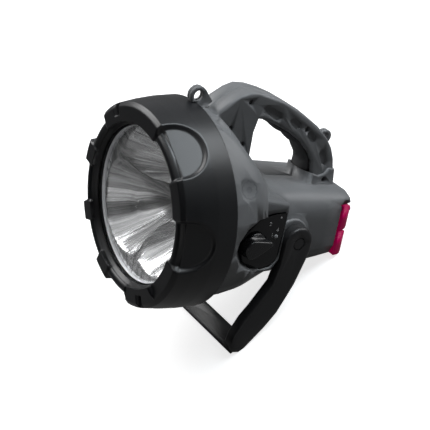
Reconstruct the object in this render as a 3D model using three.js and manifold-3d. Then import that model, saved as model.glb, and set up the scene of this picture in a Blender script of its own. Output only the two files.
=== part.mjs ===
// Rechargeable searchlight: screw-on bezel, three-lobed reflector, clamshell housing with a closed
// grip handle, a rotary selector on its left side and a swinging U-shaped stand.
//
// Every piece is drawn in the light's own level frame, in millimetres: the beam leaves along -Y, the
// beam axis is the Y axis, y = 0 is the front rim of the bezel, +Z is up and +X is the light's left.
// At the end the whole light is pitched nose-up so that it stands on its foot pads and its tail.

import * as THREE from 'three';
import Module from 'manifold-3d';
import { mergeVertices } from 'three/addons/utils/BufferGeometryUtils.js';

const wasm = await Module();
wasm.setup();

// Clearances and shared allowances
const SEAT_GAP = 0.3;
const RUNNING_GAP = 0.6;
const SPLIT_GAP = 0.3;
const CUT_OVERRUN = 12;
const WELD_DISTANCE = 0.0005;
const SCREW_SLACK = 0.45;

// Bezel
const BEZEL_RADIUS = 94.5;
const BEZEL_DEPTH = 47;
const BEZEL_SKIRT_WALL = 3.1;
const BEZEL_LIP_RADIUS = 0.743 * BEZEL_RADIUS;
const BEZEL_LIP_FRONT = 3.4;
const BEZEL_LIP_THICKNESS = 1;
const BEZEL_THROAT_RADIUS = 0.7746 * BEZEL_RADIUS;
const BEZEL_THROAT_START = 1.5;
const BEZEL_THREAD_LENGTH = 0.468 * BEZEL_DEPTH;
const BEZEL_FLARE_LENGTH = 0.149 * BEZEL_DEPTH;
const BEZEL_DOME_SHARES = [
  [1, 1], [0.995, 0.62], [0.978, 0.298], [0.952, 0], [0.921, -0.051],
  [0.868, -0.111], [0.836, -0.134], [0.792, -0.147], [0.775, -0.119],
];
const BAR_RADIUS = 0.8254 * BEZEL_RADIUS;
const BAR_RADIAL_SIZE = 9;
const BAR_AXIAL_SIZE = 8;
const BAR_CENTRE_Y = 1.7;
const BAR_SIDES = 6;
const SCOOP_FLOOR_RADIUS = 0.8804 * BEZEL_RADIUS;
const SCOOP_FLOOR_START = 3;
const SCOOP_LENGTH = 0.521 * BEZEL_DEPTH;
const SCOOP_FLOOR_RISE = 7.8;
const SCOOP_CURVE_STEPS = 8;
// Scoops between the claws: middle angle and half width, from the top towards the light's left
// Scoops round the rim: middle and half width in degrees from the top
const SCOOPS = [
  { at: 34.5, half: 16 }, { at: 88.3, half: 14.2 }, { at: 182, half: 13 },
  { at: 222.8, half: 12.6 }, { at: 261, half: 13 }, { at: 299.8, half: 11.8 },
];
// Broad lands, faced off flat, each with one notch for the bezel spanner
const LANDS = [{ from: 311.6, to: 359.6, notch: 329 }, { from: 133, to: 169, notch: 151.5 }];
const LAND_FACE_Y = -3;
const LAND_STEPS = 8;
const NOTCH_WIDTH = 8;
const NOTCH_DEPTH = 3.2;
const NOTCH_FLOOR_RADIUS = 0.836 * BEZEL_RADIUS;
const BEZEL_SEGMENTS = 40;
const OPTIC_SEGMENTS = 32;

// Lens, gasket and reflector
const GASKET_THICKNESS = 0.9;
const LENS_THICKNESS = 2.2;
const LENS_DISC_RADIUS = 0.8487 * BEZEL_RADIUS;
const LENS_DOME = 1.1;
const REFLECTOR_RIM_RADIUS = 0.727 * BEZEL_RADIUS;
const REFLECTOR_FLANGE_RADIUS = LENS_DISC_RADIUS;
const REFLECTOR_FLANGE_THICKNESS = 1.6;
const REFLECTOR_WALL = 1.8;
const LOBE_COUNT = 3;
const LOBE_RADIUS = 0.4762 * BEZEL_RADIUS;
const LOBE_OFFSET = 0.2593 * BEZEL_RADIUS;
const LOBE_DEPTH = 52;
const LOBE_HOLE_RADIUS = 5.2;
const LOBE_SEGMENTS = 14;
const LOBE_RINGS = 4;

// Lamp board and heat sink
const LED_BOARD_RADIUS = 0.4233 * BEZEL_RADIUS;
const LED_BOARD_THICKNESS = 1.6;
const LED_BASE = 6.5;
const LED_BASE_HEIGHT = 1.2;
const LED_DOME_RADIUS = 2.6;
const HEAT_SINK_RADIUS = 0.4444 * BEZEL_RADIUS;
const HEAT_SINK_PLATE = 3;
const FIN_COUNT = 9;
const FIN_THICKNESS = 1.8;
const FIN_DEPTH = 13;
const FIN_PITCH = 8;

// Housing skin
const WALL = 2.8;
const SPIGOT_RADIUS = 0.8624 * BEZEL_RADIUS;
const SPIGOT_WALL = 3.5;
const SPIGOT_BORE_RADIUS = SPIGOT_RADIUS - SPIGOT_WALL;
const SHOULDER_START = 0.649 * BEZEL_DEPTH;
const SHOULDER_END = 0.787 * BEZEL_DEPTH;
const BELL_RADIUS = BEZEL_RADIUS - BEZEL_SKIRT_WALL - SEAT_GAP;
const BELL_TAPER_SHARES = [[0, 0.2], [0.55, 0.2], [0.75, 0.12], [1, 0.12]];
const BOX_HALF_WIDTH_FRONT = 50;
const BOX_HALF_WIDTH_REAR = 0.93 * BOX_HALF_WIDTH_FRONT;
const BOX_TOP_FRONT = 19.5;
const BOX_TOP_REAR = 0.487 * BOX_TOP_FRONT;
const BOX_BOTTOM_FRONT = 60.5;
const BOX_BOTTOM_REAR = 0.851 * BOX_BOTTOM_FRONT;
const BOX_FRONT_Y = 120;
const BOX_REAR_Y = 210;
const BOX_TOP_CORNER = 16;
const BOX_BOTTOM_CORNER = 11;
const TAIL_ROUNDING = 4;
const TAIL_LEAN_SHARE = 0.14;
const TAIL_LEAN_START = 190;
const HOUSING_SIDES = 32;
const CAVITY_SIDES = 12;
const CAVITY_SKIP = 2;
// Where the bell lets go of the round and where the box is reached, by angle from the top
const BELL_END_SHARES = [
  [0, 0.1503], [0.17, 0.1685], [0.25, 0.2232], [0.33, 0.2717], [0.5, 0.2657], [0.67, 0.2474], [1, 0.211],
];
const BOX_START_SHARES = [
  [0, 0.4926], [0.25, 0.472], [0.5, 0.4332], [0.67, 0.5388], [0.83, 0.739], [1, 0.739],
];
const NECK_TOP_SHARES = [
  [0, 0], [0.15, 0.09], [0.28, 0.21], [0.43, 0.345], [0.6, 0.446], [0.72, 0.56], [0.85, 0.78], [1, 1],
];
const SIDE_START_SHARE = 0.15;
const SIDE_BLEND_SHARE = 0.25;
// Sections of the housing behind its shoulder, as shares of the way to the rear
const STATION_SHARES = [
  0.0581, 0.1503, 0.205, 0.2535, 0.3021, 0.3506, 0.3992, 0.4477,
  0.4963, 0.5873, 0.6966, 0.8422, 0.9575,
];
const DIMPLE_COUNT = 9;
const DIMPLE_FIRST_ANGLE = 20;
const DIMPLE_Y = 67;
const DIMPLE_RADIUS = 12.5;
const DIMPLE_DEPTH = 3.4;
const DIMPLE_RING_SHARES = [1, 0.7, 0];
const DIMPLE_LUMP_SHARES = [1, 0];
const LUMP_SEGMENTS = 8;
const DIMPLE_SEGMENTS = 10;
const DIAL_ANGLE = 100;

// Handle
const HANDLE_HALF_WIDTH = 16;
const HANDLE_EDGE = 2.4;
const HANDLE_EDGE_ACROSS = 4;
const HANDLE_FRONT_Y = 62;
const HANDLE_LENGTH = 150;
const HANDLE_RISE = 9;
const HANDLE_TOP = BEZEL_RADIUS + HANDLE_RISE;
const HANDLE_WALL = 2.8;
const HANDLE_SIDE_WALL = 5;
const HANDLE_TOP_SHARES = [
  [-0.03, 0.77], [0.03, 0.85], [0.1, 0.928], [0.182, 0.99], [0.25, 1], [0.355, 0.962], [0.463, 0.905],
  [0.594, 0.813], [0.692, 0.72], [0.805, 0.607], [0.885, 0.481], [0.928, 0.372], [0.957, 0.23], [0.98, 0.06],
];
const HANDLE_UNDER_SHARES = [
  [0.812, 0.06], [0.798, 0.3], [0.745, 0.44], [0.63, 0.592], [0.468, 0.72], [0.364, 0.782], [0.295, 0.8],
];
const HANDLE_FRONT_POST_SHARES = [[0.274, 0.66], [0.276, 0.45], [0.256, 0.25], [0.06, 0.25]];
const GRIP_HALF_WIDTH = 12.5;
const GRIP_SEAT = 1.4;
const HANDLE_TOP_STEPS = 15;
const HANDLE_UNDER_STEPS = 9;
// Depth of the grip below the handle at shares of its run, front to rear, and the finger grooves
const GRIP_DEPTH = 4.6;
const GRIP_DEPTH_SHARES = [[0, 0.3], [0.12, 0.75], [0.3, 1], [0.6, 1], [0.8, 1.25], [0.92, 1.6], [1, 1.75]];
const GROOVE_COUNT = 4;
const GROOVE_DEPTH = 1.7;
const GRIP_FRONT_SHARE = 0.373;
const GRIP_LOWEST_SHARE = 0.1836;
const GRIP_ROUNDNESS = 0.7;
const GRIP_STATIONS = 18;
const GRIP_SIDES = 6;
// Shallow pockets in the handle's sides: place and length as shares of the handle, turn in degrees
const POCKETS = [
  { placeShares: [0.4, 0.83], lengthShare: 0.173, turn: -27 },
  { placeShares: [0.587, 0.715], lengthShare: 0.113, turn: -33 },
  { placeShares: [0.733, 0.58], lengthShare: 0.1, turn: -45 },
  { placeShares: [0.86, 0.37], lengthShare: 0.127, turn: -62 },
];
const POCKET_WIDTH = 8;
const POCKET_DEPTH = 2.4;
const POCKET_CORNER = 3.2;
const COLLAR_HALF_WIDTH = 19;
const COLLAR_EDGE = 2;
const COLLAR_FRONT_SHARE = 0.7267;
const COLLAR_CORNER = 14;
const COLLAR_SHARES = [
  [0.68, 0.0], [0.7, 0.245], [0.767, 0.226], [0.84, 0.196], [0.885, 0.212], [0.915, 0.262],
  [0.962, 0.25], [0.98, 0.08], [0.965, -0.02],
];

// Lanyard eyes
const EYE_THICKNESS = 6;
const EYE_SEGMENTS = 14;
const FRONT_EYE_RADIUS = 8.3;
const FRONT_EYE_HOLE_RADIUS = 4.8;
const FRONT_EYE_Y = BEZEL_DEPTH + 0.2 * FRONT_EYE_RADIUS;
const FRONT_EYE_Z = BEZEL_RADIUS + 0.7 * FRONT_EYE_RADIUS;
const FRONT_EYE_STEM = 9;
const FRONT_EYE_TURN = 38;
const REAR_EYE_RADIUS = 6.8;
const REAR_EYE_HOLE_RADIUS = 3.2;
const REAR_EYE_SHARES = [0.9173, 0.512];
const REAR_EYE_STEM = 10;
const REAR_EYE_TURN = -60;
const EYE_BEZEL_GAP = 0.6;

// Screws that close the handle from the light's left side: place along Y and Z as shares of the handle
const HANDLE_SCREW_SHARES = [[0.226, 0.938], [0.684, 0.655], [0.218, 0.556], [0.886, 0.158], [0.112, 0.712]];
const SCREW_HEAD_RADIUS = 2.6;
const SCREW_HEAD_HEIGHT = 2.2;
const SCREW_SHANK_RADIUS = 1.25;
const SCREW_LENGTH = 22;
const SCREW_RECESS_DEPTH = 3.4;
const BOSS_RADIUS = 4.3;
const SCREW_SEGMENTS = 8;

// Switch pod and dial on the light's left side
const POD_PROUD = 13.5;
const POD_FACE_X = BOX_HALF_WIDTH_FRONT + POD_PROUD;
const POD_FRONT_Y = 90;
const POD_REAR_Y = 124;
const POD_TOP_Z = 26;
const POD_TOP_DROP = 8;
const POD_BOTTOM_Z = -48;
const POD_EDGE = 2.5;
const DIAL_SHARES = [
  [0.49, 1], [0.13, 1], [-0.22, 0.9], [-0.5, 0.62], [-0.68, 0.2], [-0.7, -0.24], [-0.56, -0.62], [-0.3, -0.86],
  [0.02, -0.95], [0.28, -0.9], [0.44, -0.7], [0.49, -0.4],
];
const DIAL_Y = 104;
const DIAL_Z = -18;
const DIAL_SIZE_Y = 38;
const DIAL_SIZE_Z = 28;
const DIAL_RECESS = 3.6;
const DIAL_PLATE_THICKNESS = 2.4;
const DIAL_FLOOR = 2.6;
const DIAL_SWEEP_SHARE = 0.8;
const DIAL_LIFT_SHARE = 0.45;
const KNOB_Y = 91;
const KNOB_Z = -17.5;
const KNOB_RADIUS = 12.5;
const KNOB_SKIRT_HEIGHT = 3;
const KNOB_HEIGHT = 10;
// Pointer-shaped grip: a broad round heel and a narrow tip
const KNOB_HEEL_RADIUS = 9.5;
const KNOB_HEEL_OFFSET = -5.5;
const KNOB_TIP_RADIUS = 3.4;
const KNOB_TIP_OFFSET = 12.5;
const KNOB_TURN = 10;
const KNOB_GRIP_DRAFT = 1.2;
const KNOB_SEGMENTS = 24;
const SHAFT_RADIUS = 3;
const SHAFT_LENGTH = 14;
const SHAFT_HOLE_RADIUS = 4;
const SWITCH_BODY_SIZE = 22;
const SWITCH_BODY_DEPTH = 11;
const PILOT_Y = 114.5;
const PILOT_Z = -13;
const PILOT_RADIUS = 2.4;
const PILOT_HEIGHT = 3;

// Reach of the cutting slabs, as a share of the bell's radius
const FAR_SHARE = 3;

// Stand pivot
const PIVOT_Y = 140;
const PIVOT_Z = -21.5;
const PIVOT_BOSS_RADIUS = 18.5;
const PIVOT_BOSS_EDGE = 1.6;
const PIVOT_BOSS_PROUD = 4.4;
const PIVOT_BOSS_FACE_X = BOX_HALF_WIDTH_FRONT + PIVOT_BOSS_PROUD;
const PIVOT_STEP_RADIUS = 22.5;
const PIVOT_STEP_PROUD = 1.2;
const PIVOT_BORE_RADIUS = 5;
const PIVOT_SCREW_RADIUS = 2.2;
const PIVOT_SCREW_HEAD_RADIUS = 5.8;
const PIVOT_SCREW_HEAD_HEIGHT = 2.4;
const PIVOT_SCREW_LENGTH = 17;
const PIVOT_CAP_RADIUS = 6;
const PIVOT_CAP_THICKNESS = 1.4;
const PIVOT_SLEEVE_RADIUS = 4.4;
const PIVOT_RECESS_RADIUS = 6.4;
const PIVOT_RECESS_DEPTH = 5;
const PIVOT_SEGMENTS = 18;
const SMALL_SEGMENTS = 12;

// Stand
const STAND_THICKNESS = 12;
const STAND_INNER_X = PIVOT_BOSS_FACE_X + RUNNING_GAP;
const STAND_OUTER_X = STAND_INNER_X + STAND_THICKNESS;
const STAND_EDGE = 2.4;
const STAND_EYE_RADIUS = 15.5;
const STAND_EYE_START = 0.15;
const STAND_EYE_STEPS = 8;
const CAP_CROWN_SHARE = 0.8;
const STAND_FOOT_Y = 94;
const STAND_FOOT_Z = -121.5;
// Arm outline as shares of the run from the pivot to the foot: along Y and along Z
const ARM_REAR_SHARES = [
  [-0.33, 0.1], [-0.22, 0.27], [-0.12, 0.42], [0.02, 0.56], [0.18, 0.71], [0.42, 0.85], [0.65, 0.96], [0.82, 1.04],
  [0.95, 1.075], [1.1, 1.065],
];
const ARM_FRONT_SHARES = [
  [1.18, 0.99], [1.13, 0.88], [0.96, 0.735], [0.78, 0.63], [0.59, 0.5], [0.43, 0.39], [0.345, 0.2],
];
// Bar across the feet: its section as (y, z) shares of the run from the pivot to the foot
const BAR_SHARES = [[1.133, 1.067], [0.839, 0.932], [0.763, 0.981], [1.089, 1.094]];
const BAR_EDGE = 1.6;
const FLOOR_FOOT_Y = 99.5;
const FLOOR_FOOT_Z = -126.5;
const PAD_LENGTH = 13;
const PAD_THICKNESS = 1.8;
const CHANNEL_WALL = 3;
const CHANNEL_DEPTH = 8.6;
const CHANNEL_HUB_RADIUS = 10;
const CHANNEL_END_HEIGHT = 17;

// Rear lamp
const REAR_RECESS_Y = 199.8;
const REAR_LENS_FRONT_Y = 202;
const REAR_LENS_PROUD = 0.8;
const REAR_LENS_HALF_WIDTH = BOX_HALF_WIDTH_REAR + REAR_LENS_PROUD;
const REAR_LENS_BULGE = 15;
const REAR_LENS_PLAN_RADIUS = 13;
const REAR_LENS_TOP_Z = 1;
const REAR_LENS_MIDDLE_Z = -25;
const REAR_LENS_BOTTOM_Z = -51;
const REAR_LENS_SPLIT = 1.2;
const REAR_LENS_WALL = 1.8;
const REAR_LENS_REST_SHARES = [[0.9, 0.87], [0.6, 0.99]];
const REAR_LENS_PROFILE_SHARES = [
  [0, 0], [0.4, 0.01], [0.8, 0.12], [0.98, 0.36], [1, 0.62], ...REAR_LENS_REST_SHARES, [0, 1],
];
const REAR_BOARD_THICKNESS = 1.4;
const REAR_BUTTON_RADIUS = 2.6;
const REAR_BUTTON_X = 0.79 * REAR_LENS_HALF_WIDTH;
const REAR_BUTTON_Z = -7;

// Charging socket
const SOCKET_RADIUS = 5;
const SOCKET_FLANGE_RADIUS = 7;
const SOCKET_FLANGE_THICKNESS = 1.6;
const SOCKET_LENGTH = 12;
const SOCKET_HOLE_RADIUS = 3.1;
const SOCKET_PIN_RADIUS = 1;
const SOCKET_Y = 184;
const SOCKET_Z = -30;

// Inner parts
const BATTERY_WIDTH = 2 * (BOX_HALF_WIDTH_REAR - WALL - SOCKET_LENGTH - RUNNING_GAP);
const BATTERY_SIZE = [BATTERY_WIDTH, 60, 41];
const BATTERY_Y = 160;
const BATTERY_Z = -24.5;
const CRADLE_RIB_THICKNESS = 2.4;
const CRADLE_RIB_START_X = 8;
const CRADLE_RIB_LENGTH = BATTERY_WIDTH / 2 - CRADLE_RIB_START_X;
const CHARGE_BOARD_SIZE = [40, 1.6, 30];
const CHARGE_BOARD_Z = -24;

// Materials
function paint(colour, roughness, metalness) {
  return new THREE.MeshStandardMaterial({ color: new THREE.Color(colour), roughness, metalness });
}
const darkRubber = () => paint('#2c2d31', 0.55, 0);
const greyShell = () => paint('#6f7173', 0.5, 0);
const darkShell = () => paint('#363637', 0.5, 0);
const blackPlastic = () => paint('#1f1f1f', 0.45, 0);
const glossBlack = () => paint('#111111', 0.15, 0);
const chrome = () => paint('#d8dadc', 0.08, 1);
const clearPlastic = () => new THREE.MeshStandardMaterial({
  color: new THREE.Color('#f2f6f8'), roughness: 0.05, metalness: 0, transparent: true, opacity: 0.25,
});
const magentaPlastic = () => paint('#8b033a', 0.3, 0);
const steel = () => paint('#8b8d90', 0.35, 1);
const aluminium = () => paint('#aeb1b4', 0.4, 1);
const boardGreen = () => paint('#1d5a35', 0.5, 0);
const whitePlastic = () => paint('#e4e4e0', 0.5, 0);
const ledYellow = () => paint('#e8d264', 0.3, 0);

// Geometry helpers
function facingOut(geometry) {
  const bare = new THREE.BufferGeometry();
  bare.setAttribute('position', geometry.getAttribute('position').clone());
  if (geometry.index) {
    bare.setIndex(geometry.index.clone());
  }
  const welded = mergeVertices(bare, WELD_DISTANCE);
  const position = welded.getAttribute('position');
  const corners = [new THREE.Vector3(), new THREE.Vector3(), new THREE.Vector3()];
  const kept = [];
  let volume = 0;
  for (let i = 0; i < welded.index.count; i += 3) {
    const ids = [0, 1, 2].map((k) => welded.index.getX(i + k));
    if (ids[0] === ids[1] || ids[1] === ids[2] || ids[2] === ids[0]) {
      continue;
    }
    ids.forEach((id, k) => corners[k].fromBufferAttribute(position, id));
    volume += corners[0].dot(corners[1].clone().cross(corners[2]));
    kept.push(ids);
  }
  const ordered = volume < 0 ? kept.map(([a, b, c]) => [a, c, b]) : kept;
  welded.setIndex(ordered.flat());
  return welded;
}

function solid(geometry) {
  const closed = facingOut(geometry);
  const mesh = new wasm.Mesh({
    numProp: 3,
    vertProperties: new Float32Array(closed.getAttribute('position').array),
    triVerts: new Uint32Array(closed.index.array),
  });
  return new wasm.Manifold(mesh);
}

function shapeOf(manifold) {
  const mesh = manifold.getMesh();
  const geometry = new THREE.BufferGeometry();
  const places = new Float32Array(mesh.vertProperties);
  geometry.setAttribute('position', new THREE.BufferAttribute(places, mesh.numProp));
  geometry.setIndex(new THREE.BufferAttribute(new Uint32Array(mesh.triVerts), 1));
  geometry.computeVertexNormals();
  return geometry;
}

function joined(parts) {
  return parts.reduce((whole, part) => whole.add(part));
}

function without(body, cutters) {
  return cutters.reduce((left, cutter) => left.subtract(cutter), body);
}

function asVectors(points) {
  return points.map(([a, b]) => new THREE.Vector2(a, b));
}

// A closed profile of [radius, along] pairs turned about the Y axis
function turned(profile, segments) {
  const points = asVectors(profile);
  const onAxis = profile[0][0] === 0 && profile[profile.length - 1][0] === 0;
  if (!onAxis) {
    points.push(points[0].clone());
  }
  return new THREE.LatheGeometry(points, segments);
}

const AXES_FOR_X = new THREE.Matrix4().makeBasis(
  new THREE.Vector3(0, 1, 0), new THREE.Vector3(0, 0, 1), new THREE.Vector3(1, 0, 0),
);

// A profile turned about the X axis: "along" runs along +X
function turnedAboutX(profile, segments) {
  return turned(profile, segments).rotateZ(-Math.PI / 2);
}

function rodX(radius, from, to, segments) {
  return turnedAboutX([[0, from], [radius, from], [radius, to], [0, to]], segments);
}

// An outline in (y, z) extruded along X between two planes. A rounded edge takes "edge" off the outline
// at both faces; with swell it is added to the outline in the middle instead.
function slabX(outline, from, to, edge = 0, { across = edge, swell = false, rounds = 2 } = {}) {
  const shape = new THREE.Shape(asVectors(outline));
  const geometry = new THREE.ExtrudeGeometry(shape, {
    depth: to - from - 2 * across,
    bevelEnabled: edge > 0,
    bevelThickness: across,
    bevelSize: edge,
    bevelOffset: swell ? 0 : -edge,
    bevelSegments: rounds,
  });
  geometry.translate(0, 0, from + across);
  return geometry.applyMatrix4(AXES_FOR_X);
}

function block(x0, x1, y0, y1, z0, z1) {
  const geometry = new THREE.BoxGeometry(x1 - x0, y1 - y0, z1 - z0);
  return geometry.translate((x0 + x1) / 2, (y0 + y1) / 2, (z0 + z1) / 2);
}

function roundedRectangle(halfWidth, halfHeight, radius, steps) {
  const points = [];
  for (let quarter = 0; quarter < 4; quarter += 1) {
    const signX = quarter === 0 || quarter === 3 ? 1 : -1;
    const signY = quarter < 2 ? 1 : -1;
    for (let step = 0; step <= steps; step += 1) {
      const angle = (quarter + step / steps) * Math.PI / 2;
      points.push([
        signX * (halfWidth - radius) + radius * Math.cos(angle),
        signY * (halfHeight - radius) + radius * Math.sin(angle),
      ]);
    }
  }
  return points;
}

// Rings of equal count joined into a closed skin with a fan at each end
function loft(rings) {
  const count = rings[0].length;
  const positions = rings.flat(2);
  const index = [];
  for (let ring = 0; ring < rings.length - 1; ring += 1) {
    for (let i = 0; i < count; i += 1) {
      const a = ring * count + i;
      const b = ring * count + (i + 1) % count;
      index.push(a, b, b + count, a, b + count, a + count);
    }
  }
  const ends = [rings[0], rings[rings.length - 1]];
  ends.forEach((ring, end) => {
    const centre = [0, 1, 2].map((axis) => ring.reduce((sum, point) => sum + point[axis], 0) / count);
    const hub = positions.length / 3;
    positions.push(...centre);
    const first = end === 0 ? 0 : (rings.length - 1) * count;
    for (let i = 0; i < count; i += 1) {
      const a = first + i;
      const b = first + (i + 1) % count;
      index.push(...(end === 0 ? [hub, b, a] : [hub, a, b]));
    }
  });
  const geometry = new THREE.BufferGeometry();
  geometry.setAttribute('position', new THREE.BufferAttribute(new Float32Array(positions), 3));
  geometry.setIndex(index);
  return geometry;
}

function smoothstep(value) {
  const share = Math.min(Math.max(value, 0), 1);
  return share * share * (3 - 2 * share);
}

function tableValue(table, at) {
  const next = table.findIndex(([place]) => place >= at);
  if (next <= 0) {
    return next === 0 ? table[0][1] : table[table.length - 1][1];
  }
  const [x0, y0] = table[next - 1];
  const [x1, y1] = table[next];
  const share = (at - x0) / (x1 - x0);
  return y0 + (y1 - y0) * share;
}

function curveThrough(points, steps) {
  const curve = new THREE.SplineCurve(asVectors(points));
  return curve.getPoints(steps).map((point) => [point.x, point.y]);
}

// An outline moved inwards by a wall, vertex by vertex along its bisectors
function inset(outline, wall) {
  const area = outline.reduce((sum, [x, y], i) => {
    const [nx, ny] = outline[(i + 1) % outline.length];
    return sum + x * ny - nx * y;
  }, 0);
  const side = Math.sign(area);
  return outline.map((point, i) => {
    const before = outline[(i + outline.length - 1) % outline.length];
    const after = outline[(i + 1) % outline.length];
    const back = new THREE.Vector2(point[0] - before[0], point[1] - before[1]).normalize();
    const ahead = new THREE.Vector2(after[0] - point[0], after[1] - point[1]).normalize();
    const normal = new THREE.Vector2(-back.y - ahead.y, back.x + ahead.x).normalize().multiplyScalar(side);
    const spread = Math.max(normal.dot(new THREE.Vector2(-back.y, back.x).multiplyScalar(side)), 0.5);
    return [point[0] + normal.x * wall / spread, point[1] + normal.y * wall / spread];
  });
}

// Matrix that carries (tangent, along, out) of the round at an angle from the top
function atAngle(degrees, radius, y, rise = 0) {
  const angle = THREE.MathUtils.degToRad(degrees);
  const radial = new THREE.Vector3(Math.sin(angle), 0, Math.cos(angle));
  const tangent = new THREE.Vector3(Math.cos(angle), 0, -Math.sin(angle));
  const along = new THREE.Vector3(0, 1, 0).addScaledVector(radial, rise).normalize();
  const out = new THREE.Vector3().crossVectors(tangent, along);
  const matrix = new THREE.Matrix4().makeBasis(tangent, along, out);
  return matrix.setPosition(radial.multiplyScalar(radius).add(new THREE.Vector3(0, y, 0)));
}

const flashlight = new THREE.Group();
const light = new THREE.Group();
flashlight.add(light);

function add(name, piece, material, parent = light) {
  const geometry = piece instanceof THREE.BufferGeometry ? facingOut(piece) : shapeOf(piece);
  geometry.computeVertexNormals();
  const mesh = new THREE.Mesh(geometry, material);
  mesh.name = name;
  parent.add(mesh);
  return mesh;
}

// Heights of the stack behind the bezel's lip
const lipBack = BEZEL_LIP_FRONT + BEZEL_LIP_THICKNESS;
const gasketFront = lipBack + SEAT_GAP;
const lensFront = gasketFront + GASKET_THICKNESS + SEAT_GAP;
const flangeFront = lensFront + LENS_THICKNESS + SEAT_GAP;
const spigotFront = flangeFront + REFLECTOR_FLANGE_THICKNESS + SEAT_GAP;
const threadBore = SPIGOT_RADIUS + SEAT_GAP + SCREW_SLACK / 3;

function bezel() {
  const dome = BEZEL_DOME_SHARES.map(([r, y]) => [r * BEZEL_RADIUS, y * BEZEL_DEPTH]);
  const skirtBore = BEZEL_RADIUS - BEZEL_SKIRT_WALL;
  const threadEnd = lipBack + BEZEL_THREAD_LENGTH;
  const inside = [
    [BEZEL_THROAT_RADIUS, BEZEL_THROAT_START], [BEZEL_LIP_RADIUS, BEZEL_LIP_FRONT], [BEZEL_LIP_RADIUS, lipBack],
    [threadBore, lipBack], [threadBore, threadEnd],
    [skirtBore, threadEnd + BEZEL_FLARE_LENGTH], [skirtBore, BEZEL_DEPTH],
  ];
  const shell = solid(turned([...dome, ...inside], BEZEL_SEGMENTS));
  const cutters = [];
  for (const { at, half } of SCOOPS) {
    const reach = SCOOP_FLOOR_RADIUS * Math.tan(THREE.MathUtils.degToRad(half));
    const outline = [[-reach, -CUT_OVERRUN], [reach, -CUT_OVERRUN]];
    for (let step = 0; step <= SCOOP_CURVE_STEPS; step += 1) {
      const turn = Math.PI * step / SCOOP_CURVE_STEPS;
      outline.push([reach * Math.cos(turn), SCOOP_LENGTH * Math.sin(turn)]);
    }
    const face = new THREE.ExtrudeGeometry(new THREE.Shape(asVectors(outline)), {
      depth: CUT_OVERRUN, bevelEnabled: false,
    });
    const rise = SCOOP_FLOOR_RISE / SCOOP_LENGTH;
    cutters.push(solid(face.applyMatrix4(atAngle(at, SCOOP_FLOOR_RADIUS, SCOOP_FLOOR_START, rise))));
    const mouth = block(-reach, reach, -CUT_OVERRUN - SCOOP_FLOOR_START, 0, 0, 2 * CUT_OVERRUN);
    cutters.push(solid(mouth.applyMatrix4(atAngle(at, BEZEL_LIP_RADIUS, SCOOP_FLOOR_START))));
  }
  for (const { from, to, notch } of LANDS) {
    const wedge = [[0, 0]];
    const reach = BEZEL_RADIUS + CUT_OVERRUN;
    for (let step = 0; step <= LAND_STEPS; step += 1) {
      const angle = THREE.MathUtils.degToRad(from + (to - from) * step / LAND_STEPS);
      wedge.push([Math.sin(angle) * reach, Math.cos(angle) * reach]);
    }
    const facing = new THREE.ExtrudeGeometry(new THREE.Shape(asVectors(wedge)), {
      depth: CUT_OVERRUN, bevelEnabled: false,
    });
    facing.rotateX(Math.PI / 2).translate(0, LAND_FACE_Y, 0);
    facing.scale(1, 1, -1);
    cutters.push(solid(facing));
    const slot = block(-NOTCH_WIDTH / 2, NOTCH_WIDTH / 2, -CUT_OVERRUN, NOTCH_DEPTH, 0, 2 * CUT_OVERRUN);
    cutters.push(solid(slot.applyMatrix4(atAngle(notch, NOTCH_FLOOR_RADIUS, LAND_FACE_Y))));
  }
  const bar = [];
  for (let side = 0; side < BAR_SIDES; side += 1) {
    const turn = 2 * Math.PI * side / BAR_SIDES;
    bar.push([
      BAR_RADIUS + BAR_RADIAL_SIZE / 2 * Math.cos(turn),
      BAR_CENTRE_Y + BAR_AXIAL_SIZE / 2 * Math.sin(turn),
    ]);
  }
  const wholeBar = solid(turned(bar, BEZEL_SEGMENTS));
  const bore = solid(turned([
    [0, lipBack], [threadBore, lipBack], [threadBore, lipBack + CUT_OVERRUN], [0, lipBack + CUT_OVERRUN],
  ], BEZEL_SEGMENTS));
  return without(shell, cutters).add(wholeBar).subtract(bore);
}

function ring(inner, outer, front, back, segments) {
  return turned([[inner, front], [outer, front], [outer, back], [inner, back]], segments);
}

function frontLens() {
  const back = lensFront + LENS_THICKNESS;
  const profile = [[0, lensFront - LENS_DOME]];
  const steps = 2;
  for (let step = 1; step <= steps; step += 1) {
    const share = step / steps;
    profile.push([BEZEL_LIP_RADIUS * share, lensFront - LENS_DOME * (1 - share * share)]);
  }
  profile.push([LENS_DISC_RADIUS, lensFront], [LENS_DISC_RADIUS, back], [0, back]);
  return turned(profile, OPTIC_SEGMENTS);
}

function lobePlaces() {
  return Array.from({ length: LOBE_COUNT }, (unused, lobe) => 360 * lobe / LOBE_COUNT);
}

// A parabola from the lamp hole to the mouth, moved out by a wall and run on past both ends
function lobeBowl(grow, overrun) {
  const rear = flangeFront + LOBE_DEPTH;
  const profile = [[0, rear + overrun], [LOBE_HOLE_RADIUS + grow, rear + overrun]];
  for (let step = 0; step <= LOBE_RINGS; step += 1) {
    const share = step / LOBE_RINGS;
    const radius = LOBE_HOLE_RADIUS + (LOBE_RADIUS - LOBE_HOLE_RADIUS) * share + grow;
    profile.push([radius, rear - LOBE_DEPTH * share * share]);
  }
  profile.push([LOBE_RADIUS + grow, flangeFront - overrun], [0, flangeFront - overrun]);
  return profile.filter(([r, y], i) => i === 0 || r !== profile[i - 1][0] || y !== profile[i - 1][1]);
}

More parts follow.
